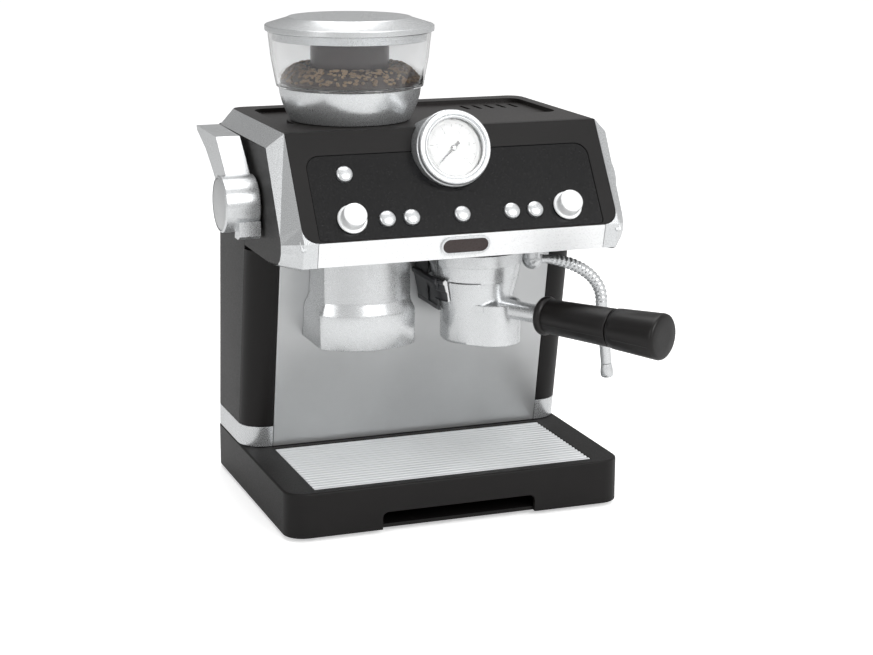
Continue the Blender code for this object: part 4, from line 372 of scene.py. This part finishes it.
def handle():
    """The satin grip and its thicker end cap, each with a soft shoulder, and the moulding line along both."""
    place = (GROUP[0], 0, HANDLE_Z)
    grip = [
        (0, 0.0495), (0.0100, 0.0495), (0.0110, 0.0500), (0.0114, 0.0510), (0.0114, 0.0524),
        (0.0110, 0.0534), (0.0102, 0.0539), (0.0098, 0.0541), (0.0100, 0.0546), (0.0112, 0.0974),
        (0.0111, 0.0981), (0.0105, 0.0985), (0, 0.0985),
    ]
    bm = bmesh.new()
    turned(bm, grip, along="X")
    piece("grip", bm, HANDLE, place, HANDLE_TURN, "handle_grip", ("handle_grip",), angle=50)
    cap = [
        (0, 0.0988), (0.0104, 0.0988), (0.0111, 0.0991), (0.0116, 0.1003), (0.0119, 0.1030), (0.0133, 0.1290),
        (0.0133, 0.1300), (0.0130, 0.1309), (0.0123, 0.1315), (0.0112, 0.1318), (0.0060, 0.1318), (0, 0.1318),
    ]
    bm = bmesh.new()
    turned(bm, cap, along="X")
    piece("grip_cap", bm, HANDLE, place, HANDLE_TURN, "handle_end_cap", ("handle_end_cap",), angle=50)
    bm = bmesh.new()
    line = math.radians(-72)
    sunk, proud, half = -0.0003, 0.00004, 0.012
    for start, end, low, high in ((0.0550, 0.0974, 0.01003, 0.01122), (0.1035, 0.1285, 0.01193, 0.01328)):
        rings = []
        for along, radius in ((start, low), (end, high)):
            corners = [(radius + sunk, line - half), (radius + proud, line - half)]
            corners += [(radius + proud, line + half), (radius + sunk, line + half)]
            rings.append([(along, r * math.sin(t), -r * math.cos(t)) for r, t in corners])
        loft(bm, rings)
    piece("grip_moulding_line", bm, INK, place, HANDLE_TURN, "handle_grip")


handle()

COLLAR_NECK = (0.0208, 0.1190)
COLLAR_BAND = (0.0252, 0.1384)
CUP_RADIUS, CUP_OFFSET, CUP_WALL = 0.0165, 0.0132, 0.0020
CUP_BOTTOM_Z, CUP_RIM_Z, CUP_WELL = 0.1003, 0.1250, 0.0030
CUP_FLANK_TURN = math.radians(66.8)


def collar_radius(z):
    (neck, foot), (band, head) = COLLAR_NECK, COLLAR_BAND
    return between(neck, band, max(z - foot, 0) / (head - foot))


def cup_outline(inset):
    """The cup in plan: a round nose and two flat flanks that run back into the collar."""
    start = Vector((math.cos(CUP_FLANK_TURN), math.sin(CUP_FLANK_TURN))) * (COLLAR_NECK[0] - 0.0002 - inset)
    away = start - Vector((CUP_OFFSET, 0))
    turn = math.degrees(math.atan2(away.y, away.x) - math.acos((CUP_RADIUS - inset) / away.length))
    nose = arc((CUP_OFFSET, 0), CUP_RADIUS - inset, -turn, turn, 48)
    return [(start.x, -start.y)] + nose + [(start.x, start.y)], math.radians(turn)


def portafilter():
    """The turning cup: a conical collar, a shallow-welled nose towards the handle, a band and the neck."""
    neck, band, rim = COLLAR_NECK[0], COLLAR_BAND[0], COLLAR_BAND[1] - 0.0003
    bm = bmesh.new()
    foot = CUP_BOTTOM_Z + 0.0002
    collar = [
        (0, 0.1046), (0.0176, 0.1046), (0.0184, 0.119), (band - 0.0024, rim), (band - 0.0003, rim),
        (band - 0.0001, rim - 0.0004), (neck, COLLAR_NECK[1]), (neck, CUP_BOTTOM_Z + 0.0022),
        (neck - 0.0004, CUP_BOTTOM_Z + 0.0011), (neck - 0.0012, CUP_BOTTOM_Z + 0.0004),
        (neck - 0.0024, foot), (0, foot),
    ]
    turned(bm, collar)
    edge = 0.0006
    outer, turn = cup_outline(0)
    rings = [[(x, y, z) for x, y in cup_outline(inset)[0]] for inset, z in (
        (edge, CUP_BOTTOM_Z), (0, CUP_BOTTOM_Z + edge), (0, CUP_RIM_Z - edge / 2), (edge / 2, CUP_RIM_Z),
        (CUP_WALL, CUP_RIM_Z), (CUP_WALL, CUP_RIM_Z - CUP_WELL),
    )]
    loft(bm, rings)
    start, end, out = Vector(outer[-1]), Vector(outer[-2]), Vector((math.cos(turn), math.sin(turn)))
    strip = [start - out * 0.0003, start + out * 0.0006, end + out * 0.0006, end - out * 0.0003]
    prism(bm, [(point.x, -point.y) for point in strip], CUP_RIM_Z - 0.0040, CUP_RIM_Z - 0.0002)
    turns = [2 * math.pi * k / 40 for k in range(40)]

    def squared(value):
        return math.copysign(abs(value) ** 0.75, value)

    rings = []
    for along, half, tall in ((0.0198, 0.0065, 0.0056), (0.0300, 0.0061, 0.0053), (0.0490, 0.0056, 0.0050)):
        section = [(squared(math.cos(t)) * half, squared(math.sin(t)) * tall) for t in turns]
        rings.append([(along, y, HANDLE_Z + z) for y, z in section])
    loft(bm, rings)
    piece(
        "portafilter_cup", bm, SILVER, GROUP, HANDLE_TURN,
        like="portafilter_basket", stands_for=("portafilter_basket",), angle=38,
    )


portafilter()


def seam_cover():
    """The group's lower lip, which hides the joint with the cup all round but for one slit in front."""
    bm = bmesh.new()
    rings = []
    slit_from, slit_to, steps = -104.7, -149.7 + 360, 60
    for k in range(steps + 1):
        turn = math.radians(between(slit_from, slit_to, k / steps))
        section = [(0.0251, 0.1384), (0.0251, 0.1394), (0.0257, 0.1394), (0.02555, 0.1379), (0.02525, 0.1379)]
        rings.append([(r * math.cos(turn), r * math.sin(turn), z) for r, z in section])
    loft(bm, rings)
    piece("group_lip", bm, SILVER, GROUP, like="group_head", angle=60)


seam_cover()


def cradle():
    """The grooved cradle behind the cup, dark with painted shade, its arm round the left and the arm's cut edge,
    pale and painted with a highlight.
    """
    low, band, clear, wall, bead = 0.1190, COLLAR_BAND[1], 0.0008, 0.0018, 0.0012
    wide = COLLAR_BAND[0] + clear + wall
    sweep_z = CUP_RIM_Z + 0.0012
    groove = ((0.1215, 0), (0.1221, 0.0008), (0.1318, 0.0008), (0.1324, 0))

    def section(bottom):
        outside = [(collar_radius(bottom) + clear + wall, bottom)]
        for z, depth in groove:
            z = max(z, bottom + depth / 4 + 0.0001)
            outside.append((collar_radius(z) + clear + wall - depth, z))
        outside += [(wide, band - bead * 1.6), (wide + bead, band - bead)]
        outside += [(wide + bead, band + bead / 2), (wide, band + bead)]
        inside = [(collar_radius(bottom) + clear, bottom), (COLLAR_BAND[0] + clear, band)]
        inside.append((wide - clear, band + bead))
        return inside + outside[::-1]

    bm = bmesh.new()
    face, face_lean = 0.0345, 0.18
    for side, front in ((-1, -0.0004), (1, 0.0062)):
        rings = [[(side * r, y, z) for r, z in section(low)] for y in (face, front)]
        rings[0] = [(x, y + (low - z) * face_lean, z) for x, y, z in rings[0]]
        loft(bm, rings)
    upper = section(sweep_z)
    arm_from, arm_to, arm_steps = 178, 208, 10
    rings = []
    for k in range(arm_steps + 1):
        turn = math.radians(between(arm_from, arm_to, k / arm_steps))
        rings.append([(r * math.cos(turn), r * math.sin(turn), z) for r, z in upper])
    loft(bm, rings)
    # The cradle takes the dark grey as painted shade under the group head.
    piece("cradle", bm, DARK_GREY_AND_SHADE, GROUP, like="group_bracket", angle=30, bevel=0.0002)

    bm = bmesh.new()
    edge_from, edge_to = 208.1, 209.3
    rings = []
    for turn in (math.radians(edge_from), math.radians(edge_to)):
        rings.append([(r * math.cos(turn), r * math.sin(turn), z) for r, z in upper])
    loft(bm, rings)
    # The cut edge is pale partly in its own colour and partly as a painted highlight.
    piece("cradle_edge", bm, EDGE_PALE_AND_HIGHLIGHT, GROUP, like="group_bracket", angle=30)


cradle()

WAND = (0.0620, 0, 0.1455)
WAND_BALL = 0.0061
WAND_REACH, WAND_DROP, WAND_SPREAD, WAND_FALL_SHARE = 0.0462, 0.0690, 0.0045, 0.62


def wand():
    """The wand: a ball, a tube that swells over its ribbed bend and thins below it, and the flared tip."""
    bend_steps, leg_steps, first_ring, sides = 160, 80, 8, 28
    fall = WAND_REACH * WAND_FALL_SHARE
    points = []
    for i in range(bend_steps + 1):
        turn = math.pi / 2 * i / bend_steps
        points.append(Vector((WAND_REACH * math.sin(turn), 0, -fall * (1 - math.cos(turn)))))
    foot = points[-1]
    leg = Vector((WAND_SPREAD, 0, fall - WAND_DROP))
    points += [foot + leg * (i / leg_steps) for i in range(1, leg_steps + 1)]
    lengths = [0.0]
    for a, b in zip(points, points[1:]):
        lengths.append(lengths[-1] + (b - a).length)
    total = lengths[-1]
    places = ((0, 0.0026), (0.08, 0.0026), (0.26, 0.0036), (0.62, 0.0036), (1, 0.0033))
    ribs_from, ribs_to, fade_in, fade_out = 0.10, 0.62, 0.05, 0.03
    rib_depth, rib_pitch = 0.00022, 0.0030

    def radius(share):
        for (start, a), (end, b) in zip(places, places[1:]):
            if share <= end:
                break
        ribbed = min(max((share - ribs_from) / fade_in, 0), max((ribs_to - share) / fade_out, 0), 1)
        rib = rib_depth * ribbed * math.sin(2 * math.pi * share * total / rib_pitch)
        return between(a, b, (share - start) / (end - start)) + rib

    bm = bmesh.new()
    rings = []
    for i in range(first_ring, len(points) - 1):
        ahead = (points[i + 1] - points[i]).normalized()
        side = Vector((0, 1, 0))
        up = side.cross(ahead)
        size = radius(lengths[i] / total)
        turns = [2 * math.pi * k / sides for k in range(sides)]
        rings.append([points[i] + (side * math.cos(t) + up * math.sin(t)) * size for t in turns])
    loft(bm, rings)
    turns = [math.pi * i / 24 for i in range(25)]
    ball = [(WAND_BALL * math.sin(t), WAND_BALL * math.cos(t)) for t in turns]
    turned(bm, ball, 48)
    piece("wand_tube", bm, SILVER, WAND, like="steam_wand", stands_for=("steam_wand",), angle=60)
    lean = math.atan2(leg.x, -leg.z)
    tip = [
        (0, 0.0002), (0.0033, 0.0002), (0.0034, -0.0012), (0.0038, -0.0032), (0.0040, -0.0052),
        (0.0040, -0.0068), (0.0037, -0.0079), (0.0030, -0.0085), (0.0020, -0.0086),
        (0.0012, -0.0085), (0.0012, -0.0050), (0, -0.0050),
    ]
    bm = bmesh.new()
    turned(bm, tip, 48)
    place = Vector(WAND) + points[-1]
    piece("wand_end", bm, SILVER, place, (0, -lean, 0), "steam_wand_tip", ("steam_wand_tip",), angle=60)


wand()


BACKSPLASH_FOOT, BACKSPLASH_HEAD = (0.0500, 0.0291), (0.0275, 0.1550)


def backsplash_y(z):
    (foot_y, foot), (head_y, head) = BACKSPLASH_FOOT, BACKSPLASH_HEAD
    return between(foot_y, head_y, (z - foot) / (head - foot))


def outlet():
    """The open-bottomed hood with round front corners, a step and a neck."""
    half, radius, corner, middle = 0.0292, 0.0413, 0.0040, 0.02962

    def ring(z, inset, back):
        wide, reach, small = half - inset, radius - inset, max(corner - inset, 0.0008)
        inner = wide - small
        drop = math.sqrt((reach - small) ** 2 - inner**2)
        turn = math.degrees(math.atan2(inner, drop))
        front = arc((-inner, middle - drop), small, -180, -90 - turn, 8)[:-1]
        front += arc((0, middle), reach, -90 - turn, -90 + turn, 32)
        front += arc((inner, middle - drop), small, -90 + turn, 0, 8)[1:]
        rear = backsplash_y(z) - back
        return [(x, y, z) for x, y in front] + [(wide, rear, z), (-wide, rear, z)]

    wall, clear, waist = 0.0024, 0.0004, 0.0028
    foot, step, neck, ceiling, head = 0.1005, 0.1210, 0.1275, 0.1520, 0.1544
    levels = [
        (head, waist, clear), (neck + 0.0008, waist, clear), (neck - 0.0006, 0.0026, clear),
        (step + 0.0006, 0.0002, clear), (step - 0.0008, 0, clear), (0.1009, 0, clear), (foot, 0.0004, 0.0006),
        (foot, wall - 0.0004, wall), (step, wall, wall), (neck, waist + wall, wall), (ceiling, waist + wall, wall),
    ]
    bm = bmesh.new()
    loft(bm, [ring(*level) for level in levels])
    place = (-0.0412, 0, 0)
    piece("outlet_hood", bm, SILVER, place, like="grinder_outlet", stands_for=("grinder_outlet",), angle=50)


outlet()


GAUGE = (0, -0.03275, 0.2208)
GAUGE_TILT = math.radians(17.0)


def gauge_print():
    """Ticks and plain numbers round three quarters of the dial, a thin arc, and the needle's hub."""
    place, turn = GAUGE, (math.pi / 2 - GAUGE_TILT, 0, 0)
    face, count, first, span = -0.0048, 50, 225, 270
    outer, number_radius, raised = 0.0140, 0.0098, 0.00006
    bm = bmesh.new()
    for k in range(count + 1):
        angle = math.radians(first - span * k / count)
        long = k % 5 == 0
        inner, half = (0.0118, 0.00014) if long else (0.0129, 0.00007)
        along = Vector((math.cos(angle), math.sin(angle)))
        side = Vector((-along.y, along.x)) * half
        outline = [along * inner - side, along * outer - side, along * outer + side, along * inner + side]
        prism(bm, [tuple(point) for point in outline], face, face + raised)
    piece("gauge_ticks", bm, INK, place, turn, "gauge_dial")
    bm = bmesh.new()
    band = arc((0, 0), 0.0143, first, first - span, 60) + arc((0, 0), 0.0141, first - span, first, 60)
    prism(bm, band, face, face + raised)
    piece("gauge_arc", bm, PALE_INK, place, turn, "gauge_dial")
    bm = bmesh.new()
    low, high = face + 0.0006, face + 0.0019
    turned(bm, [(0, low), (0.0013, low), (0.0013, high - 0.0003), (0.0010, high), (0, high)], 32)
    piece("needle_hub", bm, SILVER, place, turn, "gauge_dial")
    lean = Matrix.Translation(Vector(place) + SHIFT) @ Matrix.Rotation(turn[0], 4, "X")
    for k in range(6):
        angle = math.radians(first - span * k / 5)
        words = bpy.data.curves.new("gauge_number", "FONT")
        words.body = str(2 * k)
        words.size = 0.0030
        words.extrude = 0.00003
        words.align_x = words.align_y = "CENTER"
        words.materials.append(PALE_INK)
        number = bpy.data.objects.new(f"gauge_number_{2 * k}", words)
        bpy.context.scene.collection.objects.link(number)
        spot = Vector((number_radius * math.cos(angle), number_radius * math.sin(angle), face + 0.00004))
        number.matrix_world = lean @ Matrix.Translation(spot)
        bpy.context.view_layer.update()
        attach(number, body_of(frame["nodes"]["gauge_dial"])[0])


gauge_print()


def badge_field():
    """The bare dark field inside the badge's rim."""
    foot, head, share = Vector((0, -0.0462, 0.1596)), FASCIA_FOOT, 0.56
    lean = math.atan2(foot.y - head.y, head.z - foot.z)
    rim, low, high = 0.0012, 0.00085, 0.00105
    length, height = 0.0147 - rim, 0.0052 - rim
    outline = arc((length - height, 0), height, -90, 90, 24) + arc((height - length, 0), height, 90, 270, 24)
    bm = bmesh.new()
    prism(bm, outline, low, high)
    piece("badge_field", bm, FIELD, foot.lerp(head, share), (math.pi / 2 + lean, 0, 0), "badge")


badge_field()


GRAINS, GRAIN_SEED = 900, 5


def bean_grains():
    """Small moulded grains scattered across the heap's ring, each set at the height of its crest profile."""
    chance = random.Random(GRAIN_SEED)
    bm = bmesh.new()
    crest = ((0.0236, 0.2560), (0.0278, 0.2597), (0.0320, 0.2613), (0.0365, 0.2580), (0.0408, 0.2532))
    for _ in range(GRAINS):
        turn = chance.uniform(0, 2 * math.pi)
        at = chance.uniform(0.0243, 0.0402)
        for (a, low), (b, high) in zip(crest, crest[1:]):
            if at <= b:
                height = between(low, high, (at - a) / (b - a))
                break
        size = chance.uniform(0.0009, 0.0014)
        spin = Matrix.Rotation(chance.uniform(0, math.pi), 4, "Z")
        spin = spin @ Matrix.Rotation(chance.uniform(-0.6, 0.6), 4, "X")
        where = Matrix.Translation((at * math.cos(turn), at * math.sin(turn), height))
        shape = Matrix.Diagonal((size * 1.35, size, size * 0.8, 1))
        bmesh.ops.create_icosphere(bm, subdivisions=1, radius=1, matrix=where @ spin @ shape)
    piece("bean_grains", bm, BEAN, (-0.0413, 0.0326, 0), like="coffee_beans", angle=180)


bean_grains()


# Camera, floor and light
FOCAL_LENGTH, SENSOR_WIDTH = 81.335, 36
CAMERA_PLACE = (-0.39796, -1.05942, 0.38953)
CAMERA_AZIMUTH, CAMERA_ELEVATION, CAMERA_ROLL = 20.64, 13.95, 0.31
FLOOR_REACH, FLOOR_LIFT = 6, 0.50
BRIGHT_SIDE = (0.45, -0.65, 0.61)
DIMMEST, BRIGHTEST = 0.16, 0.86


def camera():
    data = bpy.data.cameras.new("camera")
    data.lens = FOCAL_LENGTH
    data.sensor_width = SENSOR_WIDTH
    made = bpy.data.objects.new("camera", data)
    bpy.context.scene.collection.objects.link(made)
    azimuth, elevation, roll = (
        math.radians(a) for a in (CAMERA_AZIMUTH, CAMERA_ELEVATION, CAMERA_ROLL)
    )
    ahead = Vector((
        math.sin(azimuth) * math.cos(elevation), math.cos(azimuth) * math.cos(elevation), -math.sin(elevation)
    ))
    right = Vector((math.cos(azimuth), -math.sin(azimuth), 0))
    up = right.cross(ahead)
    turned_right = right * math.cos(roll) + up * math.sin(roll)
    turned_up = turned_right.cross(ahead)
    place = Vector(CAMERA_PLACE) + SHIFT
    rows = Matrix((turned_right, turned_up, -ahead)).transposed().to_4x4()
    made.matrix_world = Matrix.Translation(place) @ rows
    bpy.context.scene.camera = made


def floor():
    """A white floor, lifted to the background's white for the camera alone."""
    bm = bmesh.new()
    bmesh.ops.create_grid(bm, x_segments=2, y_segments=2, size=FLOOR_REACH)
    mesh = bpy.data.meshes.new("floor")
    bm.to_mesh(mesh)
    bm.free()
    made = bpy.data.objects.new("floor", mesh)
    bpy.context.scene.collection.objects.link(made)
    look, tree, shader = nodes_of("floor_white")
    shader.inputs["Base Color"].default_value = (0.86, 0.86, 0.86, 1)
    shader.inputs["Roughness"].default_value = 0.6
    shader.inputs["Specular IOR Level"].default_value = 0.1
    path = new(tree, "ShaderNodeLightPath")
    lift = new(tree, "ShaderNodeMath", operation="MULTIPLY")
    lift.inputs[1].default_value = FLOOR_LIFT
    tree.links.new(path.outputs["Is Camera Ray"], lift.inputs[0])
    shader.inputs["Emission Color"].default_value = (1, 1, 1, 1)
    tree.links.new(lift.outputs[0], shader.inputs["Emission Strength"])
    mesh.materials.append(look)


def world():
    """White for the camera and through clear pieces, and brighter from one side for everything else."""
    made = bpy.data.worlds.new("studio")
    bpy.context.scene.world = made
    made.use_nodes = True
    tree = made.node_tree
    back = tree.nodes["Background"]
    path = new(tree, "ShaderNodeLightPath")
    seen = new(tree, "ShaderNodeMath", operation="MAXIMUM")
    tree.links.new(path.outputs["Is Camera Ray"], seen.inputs[0])
    tree.links.new(path.outputs["Is Transmission Ray"], seen.inputs[1])
    where = new(tree, "ShaderNodeTexCoord")
    facing = new(tree, "ShaderNodeVectorMath", operation="DOT_PRODUCT")
    facing.inputs[1].default_value = BRIGHT_SIDE
    tree.links.new(where.outputs["Generated"], facing.inputs[0])
    soft = ranged(tree, facing.outputs["Value"], DIMMEST, BRIGHTEST, -0.9, 0.9)
    strength = new(tree, "ShaderNodeMapRange")
    strength.inputs["To Max"].default_value = 1.0
    tree.links.new(soft, strength.inputs["To Min"])
    tree.links.new(seen.outputs[0], strength.inputs["Value"])
    back.inputs["Color"].default_value = (1, 1, 1, 1)
    tree.links.new(strength.outputs["Result"], back.inputs["Strength"])


def lamp(name, place, target, size, power):
    data = bpy.data.lights.new(name, "AREA")
    data.shape = "RECTANGLE"
    data.size, data.size_y = size
    data.energy = power
    made = bpy.data.objects.new(name, data)
    bpy.context.scene.collection.objects.link(made)
    made.location = place
    made.rotation_euler = (Vector(target) - Vector(place)).to_track_quat("-Z", "Y").to_euler()


camera()
floor()
world()
lamp("key", (0.5, -1.4, 1.0), (0, 0, 0.12), (1.0, 0.8), 13)
lamp("left", (-1.3, -0.7, 0.7), (0, 0, 0.12), (0.5, 0.9), 4)
lamp("top", (0.1, 0.2, 1.4), (0, 0, 0.1), (1.2, 1.0), 10)

bpy.context.scene.view_settings.view_transform = "Standard"
